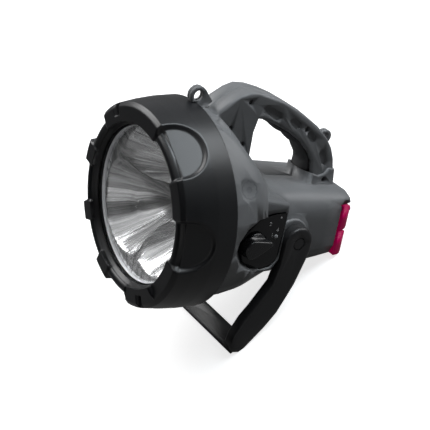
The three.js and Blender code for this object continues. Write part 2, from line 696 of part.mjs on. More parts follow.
function reflector() {
  const rearEnd = flangeFront + LOBE_DEPTH;
  const mouth = flangeFront + REFLECTOR_FLANGE_THICKNESS;
  const disc = solid(turned([
    [0, flangeFront], [REFLECTOR_FLANGE_RADIUS, flangeFront], [REFLECTOR_FLANGE_RADIUS, mouth], [0, mouth],
  ], OPTIC_SEGMENTS));
  const outside = [];
  const inside = [];
  for (const at of lobePlaces()) {
    const place = new THREE.Matrix4().setPosition(
      LOBE_OFFSET * Math.sin(THREE.MathUtils.degToRad(at)), 0, LOBE_OFFSET * Math.cos(THREE.MathUtils.degToRad(at)),
    );
    outside.push(solid(turned(lobeBowl(REFLECTOR_WALL, 0), LOBE_SEGMENTS).applyMatrix4(place)));
    inside.push(solid(turned(lobeBowl(0, REFLECTOR_WALL), LOBE_SEGMENTS).applyMatrix4(place)));
  }
  const trim = solid(turned([
    [0, flangeFront], [REFLECTOR_FLANGE_RADIUS, flangeFront], [REFLECTOR_FLANGE_RADIUS, mouth],
    [REFLECTOR_RIM_RADIUS + REFLECTOR_WALL, mouth], [REFLECTOR_RIM_RADIUS + REFLECTOR_WALL, rearEnd],
    [0, rearEnd],
  ], OPTIC_SEGMENTS));
  const rim = solid(turned([
    [0, flangeFront - REFLECTOR_WALL], [REFLECTOR_RIM_RADIUS, flangeFront - REFLECTOR_WALL],
    [REFLECTOR_RIM_RADIUS, rearEnd + CUT_OVERRUN], [0, rearEnd + CUT_OVERRUN],
  ], OPTIC_SEGMENTS));
  const backRadius = LOBE_OFFSET + LOBE_HOLE_RADIUS + 2 * REFLECTOR_WALL;
  const back = solid(ring(0, backRadius, rearEnd - REFLECTOR_WALL, rearEnd, OPTIC_SEGMENTS / 2));
  const body = joined([disc, back, ...outside]).intersect(trim);
  return body.subtract(joined(inside).intersect(rim));
}

function boxHalfWidthAt(y) {
  const along = (y - BOX_FRONT_Y) / (BOX_REAR_Y - BOX_FRONT_Y);
  return BOX_HALF_WIDTH_FRONT + (BOX_HALF_WIDTH_REAR - BOX_HALF_WIDTH_FRONT) * along;
}

function boxPoint(turn, halfWidth, top, bottom) {
  const middle = (top - bottom) / 2;
  const halfHeight = (top + bottom) / 2;
  const dx = Math.abs(Math.sin(turn));
  const dz = Math.abs(Math.cos(turn));
  const radius = Math.cos(turn) > 0 ? BOX_TOP_CORNER : BOX_BOTTOM_CORNER;
  let reach = Math.min(halfWidth / Math.max(dx, Number.EPSILON), halfHeight / Math.max(dz, Number.EPSILON));
  const cornerX = halfWidth - radius;
  const cornerZ = halfHeight - radius;
  if (dx * reach > cornerX && dz * reach > cornerZ) {
    const along = dx * cornerX + dz * cornerZ;
    reach = along + Math.sqrt(along * along - (cornerX * cornerX + cornerZ * cornerZ - radius * radius));
  }
  return [Math.sin(turn) * reach, middle + Math.cos(turn) * reach];
}

function bellRadius(y, fromTop) {
  return BELL_RADIUS - tableValue(BELL_TAPER_SHARES, fromTop) * Math.max(y - BEZEL_DEPTH, 0);
}

// Skin of the housing: a bell that settles into a rounded box, ring by ring
function skinRing(y, wall, sides, shrink = 0) {
  const points = [];
  const along = Math.min(Math.max((y - BOX_FRONT_Y) / (BOX_REAR_Y - BOX_FRONT_Y), 0), 1);
  const halfWidth = BOX_HALF_WIDTH_FRONT + (BOX_HALF_WIDTH_REAR - BOX_HALF_WIDTH_FRONT) * along - wall - shrink;
  const top = BOX_TOP_FRONT + (BOX_TOP_REAR - BOX_TOP_FRONT) * along - wall - shrink;
  const bottom = BOX_BOTTOM_FRONT + (BOX_BOTTOM_REAR - BOX_BOTTOM_FRONT) * along - wall - shrink;
  for (let side = 0; side < sides; side += 1) {
    const turn = 2 * Math.PI * side / sides;
    const fromTop = Math.abs(turn > Math.PI ? 2 * Math.PI - turn : turn) / Math.PI;
    const radius = bellRadius(y, fromTop) - wall;
    const start = behindShoulder(tableValue(BELL_END_SHARES, fromTop));
    const end = behindShoulder(tableValue(BOX_START_SHARES, fromTop));
    const share = Math.min(Math.max((y - start) / (end - start), 0), 1);
    const sideways = smoothstep((fromTop - SIDE_START_SHARE) / SIDE_BLEND_SHARE);
    const weight = tableValue(NECK_TOP_SHARES, share) * (1 - sideways) + smoothstep(share) * sideways;
    const [boxX, boxZ] = boxPoint(turn, halfWidth, top, bottom);
    const x = radius * Math.sin(turn) * (1 - weight) + boxX * weight;
    const z = radius * Math.cos(turn) * (1 - weight) + boxZ * weight;
    const nearTail = smoothstep((y - TAIL_LEAN_START) / (BOX_REAR_Y - TAIL_LEAN_START));
    const lean = TAIL_LEAN_SHARE * (z - REAR_LENS_MIDDLE_Z) * nearTail;
    points.push([x, y + lean, z]);
  }
  return points;
}

function roundRing(y, radius, sides) {
  return Array.from({ length: sides }, (unused, side) => {
    const turn = 2 * Math.PI * side / sides;
    return [radius * Math.sin(turn), y, radius * Math.cos(turn)];
  });
}

// Distance behind the rim at a share of the way from the housing's shoulder to its rear
function behindShoulder(share) {
  return SHOULDER_END + share * (BOX_REAR_Y - SHOULDER_END);
}

function housingSkin() {
  const stations = [SHOULDER_END, ...STATION_SHARES.map(behindShoulder)];
  return loft([
    roundRing(spigotFront, SPIGOT_RADIUS, HOUSING_SIDES),
    roundRing(SHOULDER_START, SPIGOT_RADIUS, HOUSING_SIDES),
    ...stations.map((y) => skinRing(y, 0, HOUSING_SIDES)),
    skinRing(BOX_REAR_Y, 0, HOUSING_SIDES, TAIL_ROUNDING / 4),
    skinRing(BOX_REAR_Y + TAIL_ROUNDING, 0, HOUSING_SIDES, TAIL_ROUNDING),
  ]);
}

function housingCavity() {
  const stations = STATION_SHARES.filter((share, i) => i % CAVITY_SKIP === CAVITY_SKIP - 1).map(behindShoulder);
  const rearMost = REAR_RECESS_Y - WALL - TAIL_ROUNDING;
  const kept = stations.filter((y) => y < rearMost - WALL);
  return loft([
    roundRing(spigotFront - CUT_OVERRUN, SPIGOT_BORE_RADIUS, CAVITY_SIDES),
    roundRing(SHOULDER_START, SPIGOT_BORE_RADIUS, CAVITY_SIDES),
    ...kept.map((y) => skinRing(y, WALL, CAVITY_SIDES)),
    skinRing(rearMost, WALL, CAVITY_SIDES),
  ]);
}

function handlePoint([y, z]) {
  return [HANDLE_FRONT_Y + y * HANDLE_LENGTH, z * HANDLE_TOP];
}

function handleOutline() {
  const top = curveThrough(HANDLE_TOP_SHARES.map(handlePoint), HANDLE_TOP_STEPS);
  const under = curveThrough(HANDLE_UNDER_SHARES.map(handlePoint), HANDLE_UNDER_STEPS);
  return [...top, ...under, ...HANDLE_FRONT_POST_SHARES.map(handlePoint)];
}

const FRONT_EYE = {
  y: FRONT_EYE_Y, z: FRONT_EYE_Z, radius: FRONT_EYE_RADIUS, hole: FRONT_EYE_HOLE_RADIUS,
  stem: FRONT_EYE_STEM, turn: FRONT_EYE_TURN,
};
const [rearEyeY, rearEyeZ] = handlePoint(REAR_EYE_SHARES);
const REAR_EYE = {
  y: rearEyeY, z: rearEyeZ, radius: REAR_EYE_RADIUS, hole: REAR_EYE_HOLE_RADIUS,
  stem: REAR_EYE_STEM, turn: REAR_EYE_TURN,
};

// Lanyard eye: a disc with a root that runs down into the housing
function eye({ y, z, radius, hole, stem, turn }) {
  const half = EYE_THICKNESS / 2;
  const disc = solid(rodX(radius, -half, half, EYE_SEGMENTS).translate(0, y, z));
  const root = block(-half, half, -radius, radius, -stem - hole, 0);
  root.rotateX(THREE.MathUtils.degToRad(turn));
  return disc.add(solid(root.translate(0, y, z)));
}

function eyeHole({ y, z, hole }) {
  return solid(rodX(hole, -EYE_THICKNESS, EYE_THICKNESS, EYE_SEGMENTS).translate(0, y, z));
}

function dialOutline(grow) {
  return DIAL_SHARES.map(([y, z]) => {
    const reach = Math.hypot(y * DIAL_SIZE_Y, z * DIAL_SIZE_Z);
    const scale = (reach + grow) / reach;
    return [DIAL_Y + y * DIAL_SIZE_Y * scale, DIAL_Z + z * DIAL_SIZE_Z * scale];
  });
}

const dialFloorX = POD_FACE_X - DIAL_RECESS;

// Pocket round the dial, swept forward as it opens so that it bites the bell's flank
function dialPocket(wall) {
  const outline = dialOutline(wall);
  const floor = dialFloorX - wall;
  const far = BELL_RADIUS + CUT_OVERRUN;
  const straight = solid(slabX(outline, floor, far));
  const sweep = slabX(outline, floor, far);
  const shear = new THREE.Matrix4().makeShear(-DIAL_SWEEP_SHARE, DIAL_LIFT_SHARE, 0, 0, 0, 0);
  sweep.translate(-floor, 0, 0).applyMatrix4(shear).translate(floor, 0, 0);
  return straight.add(solid(sweep));
}

// Raised saddle round the foot of the grip, rounded in plan at its front
function collar() {
  const side = solid(slabX(COLLAR_SHARES.map(handlePoint), -COLLAR_HALF_WIDTH, COLLAR_HALF_WIDTH, COLLAR_EDGE));
  const halfDepth = HANDLE_LENGTH / 2;
  const plan = new THREE.Shape(asVectors(roundedRectangle(COLLAR_HALF_WIDTH, halfDepth, COLLAR_CORNER, 5)));
  const column = new THREE.ExtrudeGeometry(plan, { depth: HANDLE_TOP, bevelEnabled: false });
  const middle = HANDLE_FRONT_Y + COLLAR_FRONT_SHARE * HANDLE_LENGTH + halfDepth;
  return side.intersect(solid(column.translate(0, middle, -HANDLE_TOP / 2)));
}

function pod() {
  const outline = [
    [POD_FRONT_Y, POD_BOTTOM_Z], [POD_REAR_Y - 3 * POD_EDGE, POD_BOTTOM_Z],
    [POD_REAR_Y, POD_BOTTOM_Z + 4 * POD_EDGE], [POD_REAR_Y, POD_TOP_Z - POD_TOP_DROP],
    [POD_FRONT_Y, POD_TOP_Z],
  ];
  return solid(slabX(outline, 0, POD_FACE_X, POD_EDGE));
}

function handleScrewPlaces() {
  return HANDLE_SCREW_SHARES.map(handlePoint);
}

function screwSeatX() {
  return HANDLE_HALF_WIDTH - SCREW_RECESS_DEPTH - SCREW_HEAD_HEIGHT;
}

// Shallow round dishes in the bell, or the plain lumps that they make on its inside
function dimples(wall) {
  const bellHere = bellRadius(DIMPLE_Y, 0);
  const profile = [[0, CUT_OVERRUN], [DIMPLE_RADIUS + wall, CUT_OVERRUN]];
  const rings = wall > 0 ? DIMPLE_LUMP_SHARES : DIMPLE_RING_SHARES;
  for (const share of rings) {
    profile.push([(DIMPLE_RADIUS + wall) * share, -DIMPLE_DEPTH * (1 - share * share) - wall]);
  }
  const places = Array.from({ length: DIMPLE_COUNT }, (unused, i) => DIMPLE_FIRST_ANGLE + 360 * i / DIMPLE_COUNT);
  return places.filter((angle) => Math.abs(angle - DIAL_ANGLE) > 180 / DIMPLE_COUNT).map((angle) => {
    const dish = turned(profile, wall > 0 ? LUMP_SEGMENTS : DIMPLE_SEGMENTS).rotateX(Math.PI / 2);
    return solid(dish.translate(0, DIMPLE_Y, bellHere).rotateY(THREE.MathUtils.degToRad(angle)));
  });
}

function wholeHousing() {
  const outline = handleOutline();
  const handle = solid(slabX(outline, -HANDLE_HALF_WIDTH, HANDLE_HALF_WIDTH, HANDLE_EDGE, {
    across: HANDLE_EDGE_ACROSS, swell: true,
  }));
  const bosses = [-1, 1].map((side) => {
    const root = BOX_HALF_WIDTH_REAR - 2 * WALL;
    const step = boxHalfWidthAt(PIVOT_Y) + PIVOT_STEP_PROUD;
    const stub = turnedAboutX([
      [0, root], [PIVOT_STEP_RADIUS, root], [PIVOT_STEP_RADIUS, step], [PIVOT_BOSS_RADIUS, step],
      [PIVOT_BOSS_RADIUS, PIVOT_BOSS_FACE_X - PIVOT_BOSS_EDGE],
      [PIVOT_BOSS_RADIUS - PIVOT_BOSS_EDGE, PIVOT_BOSS_FACE_X],
      [0, PIVOT_BOSS_FACE_X],
    ], PIVOT_SEGMENTS);
    return solid(stub.translate(0, PIVOT_Y, PIVOT_Z).applyMatrix4(new THREE.Matrix4().makeScale(side, 1, 1)));
  });
  const skin = without(solid(housingSkin()), dimples(0));
  const outside = joined([skin, handle, collar(), pod(), ...bosses, eye(FRONT_EYE), eye(REAR_EYE)]);

  const handleHollow = inset(outline, HANDLE_WALL);
  const reach = HANDLE_HALF_WIDTH - HANDLE_SIDE_WALL;
  const inner = solid(slabX(handleHollow, -reach, reach));
  const cavity = without(solid(housingCavity()), [...dimples(WALL), dialPocket(WALL)]).add(inner);
  const postReach = HANDLE_HALF_WIDTH - WALL / 2;
  const posts = handleScrewPlaces().map(([y, z]) => solid(
    rodX(BOSS_RADIUS, -postReach, postReach, SCREW_SEGMENTS).translate(0, y, z),
  ));
  const pivotPosts = [-1, 1].map((side) => {
    const from = side * (PIVOT_BOSS_FACE_X - PIVOT_SCREW_LENGTH);
    const to = side * (PIVOT_BOSS_FACE_X - WALL);
    return spanX(PIVOT_SLEEVE_RADIUS, from, to, SCREW_SEGMENTS);
  });
  const floorOfCradle = BATTERY_Z - BATTERY_SIZE[2] / 2 - SEAT_GAP;
  const cradle = [];
  for (const side of [-1, 1]) {
    for (const end of [-1, 1]) {
      const x = side * (CRADLE_RIB_START_X + CRADLE_RIB_LENGTH / 2);
      const y = BATTERY_Y + end * BATTERY_SIZE[1] / 3;
      cradle.push(solid(block(
        x - CRADLE_RIB_LENGTH / 2, x + CRADLE_RIB_LENGTH / 2,
        y - CRADLE_RIB_THICKNESS / 2, y + CRADLE_RIB_THICKNESS / 2, -BELL_RADIUS, floorOfCradle,
      )));
    }
  }
  const supports = joined([...posts, ...pivotPosts, ...cradle]).intersect(outside);
  const hollow = without(outside, [cavity]).add(supports);

  const bezelRear = BEZEL_DEPTH + EYE_BEZEL_GAP;
  const clearBezel = solid(ring(0, BEZEL_RADIUS + EYE_BEZEL_GAP, 0, bezelRear, BEZEL_SEGMENTS));
  const keep = solid(ring(0, BELL_RADIUS, -CUT_OVERRUN, BEZEL_DEPTH + CUT_OVERRUN, BEZEL_SEGMENTS));
  const rearRecess = solid(block(
    -BELL_RADIUS, BELL_RADIUS, REAR_RECESS_Y, BOX_REAR_Y + 2 * CUT_OVERRUN,
    REAR_LENS_BOTTOM_Z - CUT_OVERRUN, REAR_LENS_TOP_Z + SEAT_GAP,
  ));
  const switchRoom = solid(block(
    BOX_HALF_WIDTH_FRONT - SWITCH_BODY_DEPTH, dialFloorX - DIAL_FLOOR,
    KNOB_Y - SWITCH_BODY_SIZE / 2 - RUNNING_GAP, KNOB_Y + SWITCH_BODY_SIZE / 2 + RUNNING_GAP,
    KNOB_Z - SWITCH_BODY_SIZE / 2 - RUNNING_GAP, KNOB_Z + SWITCH_BODY_SIZE / 2 + RUNNING_GAP,
  ));
  const shaftHole = solid(rodX(SHAFT_HOLE_RADIUS, 0, POD_FACE_X, SCREW_SEGMENTS).translate(0, KNOB_Y, KNOB_Z));
  const flangeSeatX = socketFaceX() + SOCKET_FLANGE_THICKNESS + SEAT_GAP;
  const socketHole = joined([
    rodX(SOCKET_RADIUS + SEAT_GAP, -BELL_RADIUS, socketFaceX() + SOCKET_LENGTH, SMALL_SEGMENTS),
    rodX(SOCKET_FLANGE_RADIUS + SEAT_GAP, -BELL_RADIUS, flangeSeatX, SMALL_SEGMENTS),
  ].map((bore) => solid(bore.translate(0, SOCKET_Y, SOCKET_Z))));
  const cuts = [
    clearBezel.subtract(keep), rearRecess, dialPocket(0), switchRoom, shaftHole,
    eyeHole(FRONT_EYE), eyeHole(REAR_EYE),
    solid(fingerGrip(SEAT_GAP)),
  ];
  const seat = screwSeatX();
  for (const [y, z] of handleScrewPlaces()) {
    const bores = [
      rodX(SCREW_HEAD_RADIUS + SCREW_SLACK, seat, COLLAR_HALF_WIDTH + CUT_OVERRUN, SCREW_SEGMENTS),
      rodX(SCREW_SHANK_RADIUS + SCREW_SLACK, seat - SCREW_LENGTH, seat + SEAT_GAP, SCREW_SEGMENTS),
    ];
    cuts.push(...bores.map((bore) => solid(bore.translate(0, y, z))));
  }
  for (const side of [-1, 1]) {
    const tip = side * (PIVOT_BOSS_FACE_X - PIVOT_SCREW_LENGTH + WALL);
    const mouth = side * (PIVOT_BOSS_FACE_X + CUT_OVERRUN);
    cuts.push(spanX(PIVOT_SCREW_RADIUS + SCREW_SLACK, tip, mouth, SCREW_SEGMENTS));
  }
  for (const { placeShares, lengthShare, turn } of POCKETS) {
    const [y, z] = handlePoint(placeShares);
    for (const side of [-1, 1]) {
      const halfLength = lengthShare * HANDLE_LENGTH / 2;
      const outlineHere = roundedRectangle(halfLength, POCKET_WIDTH / 2, POCKET_CORNER, 1);
      const from = HANDLE_HALF_WIDTH - POCKET_DEPTH;
      const to = HANDLE_HALF_WIDTH + CUT_OVERRUN;
      const cutter = slabX(outlineHere, side > 0 ? from : -to, side > 0 ? to : -from);
      cuts.push(solid(cutter.rotateX(THREE.MathUtils.degToRad(turn)).translate(0, y, z)));
    }
  }
  cuts.push(socketHole);
  return without(hollow, cuts);
}

function rodY(radius, from, to) {
  return new THREE.CylinderGeometry(radius, radius, to - from, SCREW_SEGMENTS).translate(0, (from + to) / 2, 0);
}

// Face of the charging socket, set flush into the box's right wall
function socketFaceX() {
  return -boxHalfWidthAt(SOCKET_Y);
}

function dcSocket() {
  const face = socketFaceX();
  const flange = face + SOCKET_FLANGE_THICKNESS;
  const bottom = face + SOCKET_LENGTH / 2;
  const end = face + SOCKET_LENGTH;
  const body = turnedAboutX([
    [0, face], [SOCKET_PIN_RADIUS, face], [SOCKET_PIN_RADIUS, bottom], [SOCKET_HOLE_RADIUS, bottom],
    [SOCKET_HOLE_RADIUS, face], [SOCKET_FLANGE_RADIUS, face], [SOCKET_FLANGE_RADIUS, flange],
    [SOCKET_RADIUS, flange], [SOCKET_RADIUS, end], [0, end],
  ], SMALL_SEGMENTS);
  return body.translate(0, SOCKET_Y, SOCKET_Z);
}

// Line on the underside of the handle that the grip follows, front to rear, with its normals
function gripLine() {
  const first = HANDLE_TOP_STEPS + 1;
  const last = first + HANDLE_UNDER_STEPS + 1;
  const edge = handleOutline().slice(first, last).reverse();
  const [gripFront, gripLowest] = handlePoint([GRIP_FRONT_SHARE, GRIP_LOWEST_SHARE]);
  const kept = edge.filter(([y, z]) => y > gripFront - HANDLE_EDGE && z > gripLowest - HANDLE_EDGE);
  const curve = new THREE.SplineCurve(asVectors(kept));
  return Array.from({ length: GRIP_STATIONS + 1 }, (unused, i) => {
    const share = i / GRIP_STATIONS;
    const at = curve.getPointAt(share);
    const along = curve.getTangentAt(share);
    return { share, at, down: new THREE.Vector2(along.y, -along.x) };
  });
}

// Finger grip under the handle: half-round sections with a groove for each finger. Grown by a gap it
// is the bed that the handle keeps for it.
function fingerGrip(grow) {
  const line = gripLine();
  const rings = line.map(({ share, at, down }, station) => {
    const body = GRIP_DEPTH * tableValue(GRIP_DEPTH_SHARES, share);
    const groove = GROOVE_DEPTH * (0.5 - 0.5 * Math.cos(2 * Math.PI * GROOVE_COUNT * share));
    const fade = smoothstep(GROOVE_COUNT * 2 * Math.min(share, 1 - share));
    const depth = HANDLE_EDGE + body - groove * fade + grow;
    const seat = HANDLE_EDGE - GRIP_SEAT - grow;
    const past = grow * (Number(station === line.length - 1) - Number(station === 0));
    const centre = at.clone().add(new THREE.Vector2(-down.y, down.x).multiplyScalar(past));
    return Array.from({ length: GRIP_SIDES + 1 }, (unused, i) => {
      const turn = Math.PI * i / GRIP_SIDES;
      const drop = seat + (depth - seat) * Math.sin(turn) ** GRIP_ROUNDNESS;
      return [(GRIP_HALF_WIDTH + grow) * Math.cos(turn), centre.x + down.x * drop, centre.y + down.y * drop];
    });
  });
  return loft(rings);
}

function halfSpace(side) {
  const far = FAR_SHARE * BELL_RADIUS;
  const inner = SPLIT_GAP / 2;
  return solid(block(side > 0 ? inner : -far, side > 0 ? far : -inner, -far, far, -far, far));
}

// Floor line through the feet and the tail, in the light's own frame
const lowerLensTop = REAR_LENS_MIDDLE_Z - REAR_LENS_SPLIT / 2;
const restShares = REAR_LENS_REST_SHARES.reduce(([y0, z0], [y1, z1]) => [(y0 + y1) / 2, (z0 + z1) / 2]);
const tailY = REAR_LENS_FRONT_Y + REAR_LENS_BULGE * restShares[0];
const tailZ = lowerLensTop + (REAR_LENS_BOTTOM_Z - lowerLensTop) * restShares[1];
const pitch = -Math.atan2(tailZ - FLOOR_FOOT_Z, tailY - FLOOR_FOOT_Y);

// Everything lower than a height over the floor
function under(height) {
  const far = FAR_SHARE * BELL_RADIUS;
  const slab = block(-far, far, -far, far, -far, height);
  slab.rotateX(-pitch);
  return solid(slab.translate(0, tailY, tailZ));
}

// Stand
function armPoint([y, z]) {
  return [PIVOT_Y + (STAND_FOOT_Y - PIVOT_Y) * y, PIVOT_Z + (STAND_FOOT_Z - PIVOT_Z) * z];
}

function armOutline() {
  const outline = [];
  for (let step = 0; step <= STAND_EYE_STEPS; step += 1) {
    const turn = Math.PI * (step / STAND_EYE_STEPS) - STAND_EYE_START;
    outline.push([PIVOT_Y - STAND_EYE_RADIUS * Math.cos(turn), PIVOT_Z + STAND_EYE_RADIUS * Math.sin(turn)]);
  }
  return [...outline, ...ARM_REAR_SHARES.map(armPoint), ...ARM_FRONT_SHARES.map(armPoint)];
}

function spanX(radius, a, b, segments) {
  return solid(rodX(radius, Math.min(a, b), Math.max(a, b), segments).translate(0, PIVOT_Y, PIVOT_Z));
}

// U-shaped stand: two curved arms, hollowed from their inner side, and the bar across the feet
function standForm() {
  const parts = [];
  const cuts = [];
  for (const side of [-1, 1]) {
    const from = side > 0 ? STAND_INNER_X : -STAND_OUTER_X;
    const to = side > 0 ? STAND_OUTER_X : -STAND_INNER_X;
    parts.push(solid(slabX(armOutline(), from, to, STAND_EDGE)));
    const floor = side * (STAND_INNER_X + CHANNEL_DEPTH);
    const mouth = side * (STAND_INNER_X - CUT_OVERRUN);
    const outline = inset(armOutline(), CHANNEL_WALL);
    const channel = solid(slabX(outline, Math.min(floor, mouth), Math.max(floor, mouth)));
    const hub = spanX(CHANNEL_HUB_RADIUS, floor, mouth, PIVOT_SEGMENTS);
    cuts.push(channel.subtract(hub).subtract(under(CHANNEL_END_HEIGHT)));
  }
  const reach = STAND_OUTER_X - STAND_EDGE;
  const bar = solid(slabX(BAR_SHARES.map(armPoint), -reach, reach, BAR_EDGE));
  return { arms: joined(parts), whole: without(joined(parts), cuts).add(bar) };
}

function standBail(form) {
  const cuts = [];
  for (const side of [-1, 1]) {
    const recess = side * (STAND_OUTER_X - PIVOT_RECESS_DEPTH);
    cuts.push(spanX(PIVOT_RECESS_RADIUS, recess, side * (STAND_OUTER_X + CUT_OVERRUN), PIVOT_SEGMENTS));
    cuts.push(spanX(PIVOT_BORE_RADIUS, recess, side * (STAND_INNER_X - CUT_OVERRUN), PIVOT_SEGMENTS));
  }
  return without(form.whole, [...cuts, under(PAD_THICKNESS + SEAT_GAP)]);
}

function footPad(side, form) {
  const inner = side * (STAND_OUTER_X - PAD_LENGTH);
  const outer = side * (STAND_OUTER_X + CUT_OVERRUN);
  const far = FAR_SHARE * BELL_RADIUS;
  const reach = solid(block(Math.min(inner, outer), Math.max(inner, outer), -far, far, -far, far));
  return form.arms.intersect(reach).intersect(under(PAD_THICKNESS)).subtract(under(0));
}

// Build the light
add('bezel', bezel(), darkRubber());
const gasketBack = gasketFront + GASKET_THICKNESS;
const gasket = ring(BEZEL_LIP_RADIUS + SEAT_GAP, LENS_DISC_RADIUS, gasketFront, gasketBack, OPTIC_SEGMENTS);
add('lens_gasket', gasket, blackPlastic());
add('front_lens', frontLens(), clearPlastic());
add('reflector', reflector(), chrome());

const boardFront = flangeFront + LOBE_DEPTH + SEAT_GAP;
const boardBack = boardFront + LED_BOARD_THICKNESS;
add('led_board', ring(0, LED_BOARD_RADIUS, boardFront, boardBack, OPTIC_SEGMENTS), whitePlastic());
lobePlaces().forEach((at, i) => {
  const angle = THREE.MathUtils.degToRad(at);
  const base = solid(block(-LED_BASE / 2, LED_BASE / 2, -LED_BASE_HEIGHT, 0, -LED_BASE / 2, LED_BASE / 2));
  const dome = new THREE.SphereGeometry(LED_DOME_RADIUS, 10, 6);
  const above = solid(block(-LED_BASE, LED_BASE, -LED_BASE, -LED_BASE_HEIGHT / 2, -LED_BASE, LED_BASE));
  const lens = solid(dome.translate(0, -LED_BASE_HEIGHT, 0)).intersect(above);
  const led = add('led_' + (i + 1), base.add(lens), ledYellow());
  led.position.set(LOBE_OFFSET * Math.sin(angle), boardFront - SEAT_GAP, LOBE_OFFSET * Math.cos(angle));
});

function heatSink() {
  const front = boardBack + SEAT_GAP;
  const plate = solid(ring(0, HEAT_SINK_RADIUS, front, front + HEAT_SINK_PLATE, OPTIC_SEGMENTS));
  const finRoot = front + FIN_THICKNESS;
  const finTip = front + HEAT_SINK_PLATE + FIN_DEPTH;
  const fins = Array.from({ length: FIN_COUNT }, (unused, i) => {
    const x = (i - (FIN_COUNT - 1) / 2) * FIN_PITCH;
    const half = Math.sqrt(HEAT_SINK_RADIUS * HEAT_SINK_RADIUS - x * x) - FIN_THICKNESS;
    return solid(block(x - FIN_THICKNESS / 2, x + FIN_THICKNESS / 2, finRoot, finTip, -half, half));
  });
  return joined([plate, ...fins]);
}
add('heat_sink', heatSink(), aluminium());

const housing = wholeHousing().subtract(under(0));
add('housing_left', housing.intersect(halfSpace(1)), greyShell());
add('housing_right', housing.intersect(halfSpace(-1)), greyShell());
add('finger_grip', fingerGrip(0), darkShell());

const plateBack = dialFloorX + SEAT_GAP;
const plateFace = plateBack + DIAL_PLATE_THICKNESS;
const plateBores = [[SHAFT_HOLE_RADIUS, KNOB_Y, KNOB_Z], [PILOT_RADIUS + SEAT_GAP, PILOT_Y, PILOT_Z]]
  .map(([radius, y, z]) => solid(rodX(radius, 0, plateFace + CUT_OVERRUN, SCREW_SEGMENTS).translate(0, y, z)));
const plate = solid(slabX(dialOutline(-SEAT_GAP - SCREW_SLACK), plateBack, plateFace));
add('dial_plate', without(plate, plateBores), glossBlack());
const pilotForm = rodX(PILOT_RADIUS, 0, PILOT_HEIGHT, SCREW_SEGMENTS);
const pilot = add('pilot_button', pilotForm, paint('#8a8c8c', 0.4, 0));
pilot.position.set(plateBack, PILOT_Y, PILOT_Z);

const selector = new THREE.Group();
selector.position.set(plateFace + RUNNING_GAP, KNOB_Y, KNOB_Z);
light.add(selector);

// Outline of the pointer as (y, z) pairs: two arcs joined by their common tangents
function pointerOutline(shrink) {
  const heel = KNOB_HEEL_RADIUS - shrink;
  const tip = KNOB_TIP_RADIUS - shrink;
  const lean = Math.acos((heel - tip) / (KNOB_TIP_OFFSET - KNOB_HEEL_OFFSET));
  const heelSteps = 12;
  const tipSteps = 6;
  const points = [];
  for (let step = 0; step <= heelSteps; step += 1) {
    const turn = lean + (2 * Math.PI - 2 * lean) * step / heelSteps;
    points.push([KNOB_HEEL_OFFSET + heel * Math.cos(turn), heel * Math.sin(turn)]);
  }
  for (let step = 0; step <= tipSteps; step += 1) {
    const turn = -lean + 2 * lean * step / tipSteps;
    points.push([KNOB_TIP_OFFSET + tip * Math.cos(turn), tip * Math.sin(turn)]);
  }
  return points;
}

function selectorKnob() {
  const skirt = solid(turnedAboutX([
    [0, 0], [KNOB_RADIUS, 0], [KNOB_RADIUS - KNOB_GRIP_DRAFT, KNOB_SKIRT_HEIGHT], [0, KNOB_SKIRT_HEIGHT],
  ], KNOB_SEGMENTS));
  const gripHere = (shrink, x) => pointerOutline(shrink).map(([y, z]) => [x, y, z]);
  const grip = solid(loft([
    gripHere(0, KNOB_SKIRT_HEIGHT / 2), gripHere(KNOB_GRIP_DRAFT / 2, KNOB_HEIGHT - KNOB_GRIP_DRAFT),
    gripHere(KNOB_GRIP_DRAFT, KNOB_HEIGHT - KNOB_GRIP_DRAFT / 3), gripHere(2 * KNOB_GRIP_DRAFT, KNOB_HEIGHT),
  ]).rotateX(THREE.MathUtils.degToRad(KNOB_TURN)));
  const top = KNOB_HEIGHT - KNOB_SKIRT_HEIGHT;
  const socket = solid(rodX(SHAFT_RADIUS + SEAT_GAP, -CUT_OVERRUN, top, SCREW_SEGMENTS));
  return skirt.add(grip).subtract(socket);
}
add('selector_knob', selectorKnob(), glossBlack(), selector);
const shaftTip = KNOB_HEIGHT - KNOB_SKIRT_HEIGHT - SEAT_GAP;
const shaftRoot = shaftTip - SHAFT_LENGTH;
add('selector_shaft', rodX(SHAFT_RADIUS, shaftRoot, shaftTip, SCREW_SEGMENTS), steel(), selector);

const switchBack = BOX_HALF_WIDTH_FRONT - SWITCH_BODY_DEPTH + SEAT_GAP;
const switchFace = Math.min(dialFloorX - DIAL_FLOOR, selector.position.x + shaftRoot) - SEAT_GAP;
const switchHalf = SWITCH_BODY_SIZE / 2;
const switchForm = block(switchBack, switchFace, -switchHalf, switchHalf, -switchHalf, switchHalf);
add('switch_body', switchForm.translate(0, KNOB_Y, KNOB_Z), blackPlastic());

// Screws
const SCREW_POINT_SHARE = 0.5;
const SCREW_CROWN_SHARE = 0.6;

function screw(headRadius, headHeight, shankRadius, length) {
  return turnedAboutX([
    [0, -length], [shankRadius * SCREW_POINT_SHARE, -length], [shankRadius, -length + shankRadius],
    [shankRadius, 0], [headRadius, 0], [headRadius, headHeight * SCREW_CROWN_SHARE],
    [headRadius * SCREW_CROWN_SHARE, headHeight], [0, headHeight],
  ], SCREW_SEGMENTS);
}
handleScrewPlaces().forEach(([y, z], i) => {
  const length = SCREW_LENGTH - 2 * SCREW_SHANK_RADIUS;
  const form = screw(SCREW_HEAD_RADIUS, SCREW_HEAD_HEIGHT, SCREW_SHANK_RADIUS, length);
  const piece = add('handle_screw_' + (i + 1), form, steel());
  piece.position.set(screwSeatX() + SEAT_GAP, y, z);
});

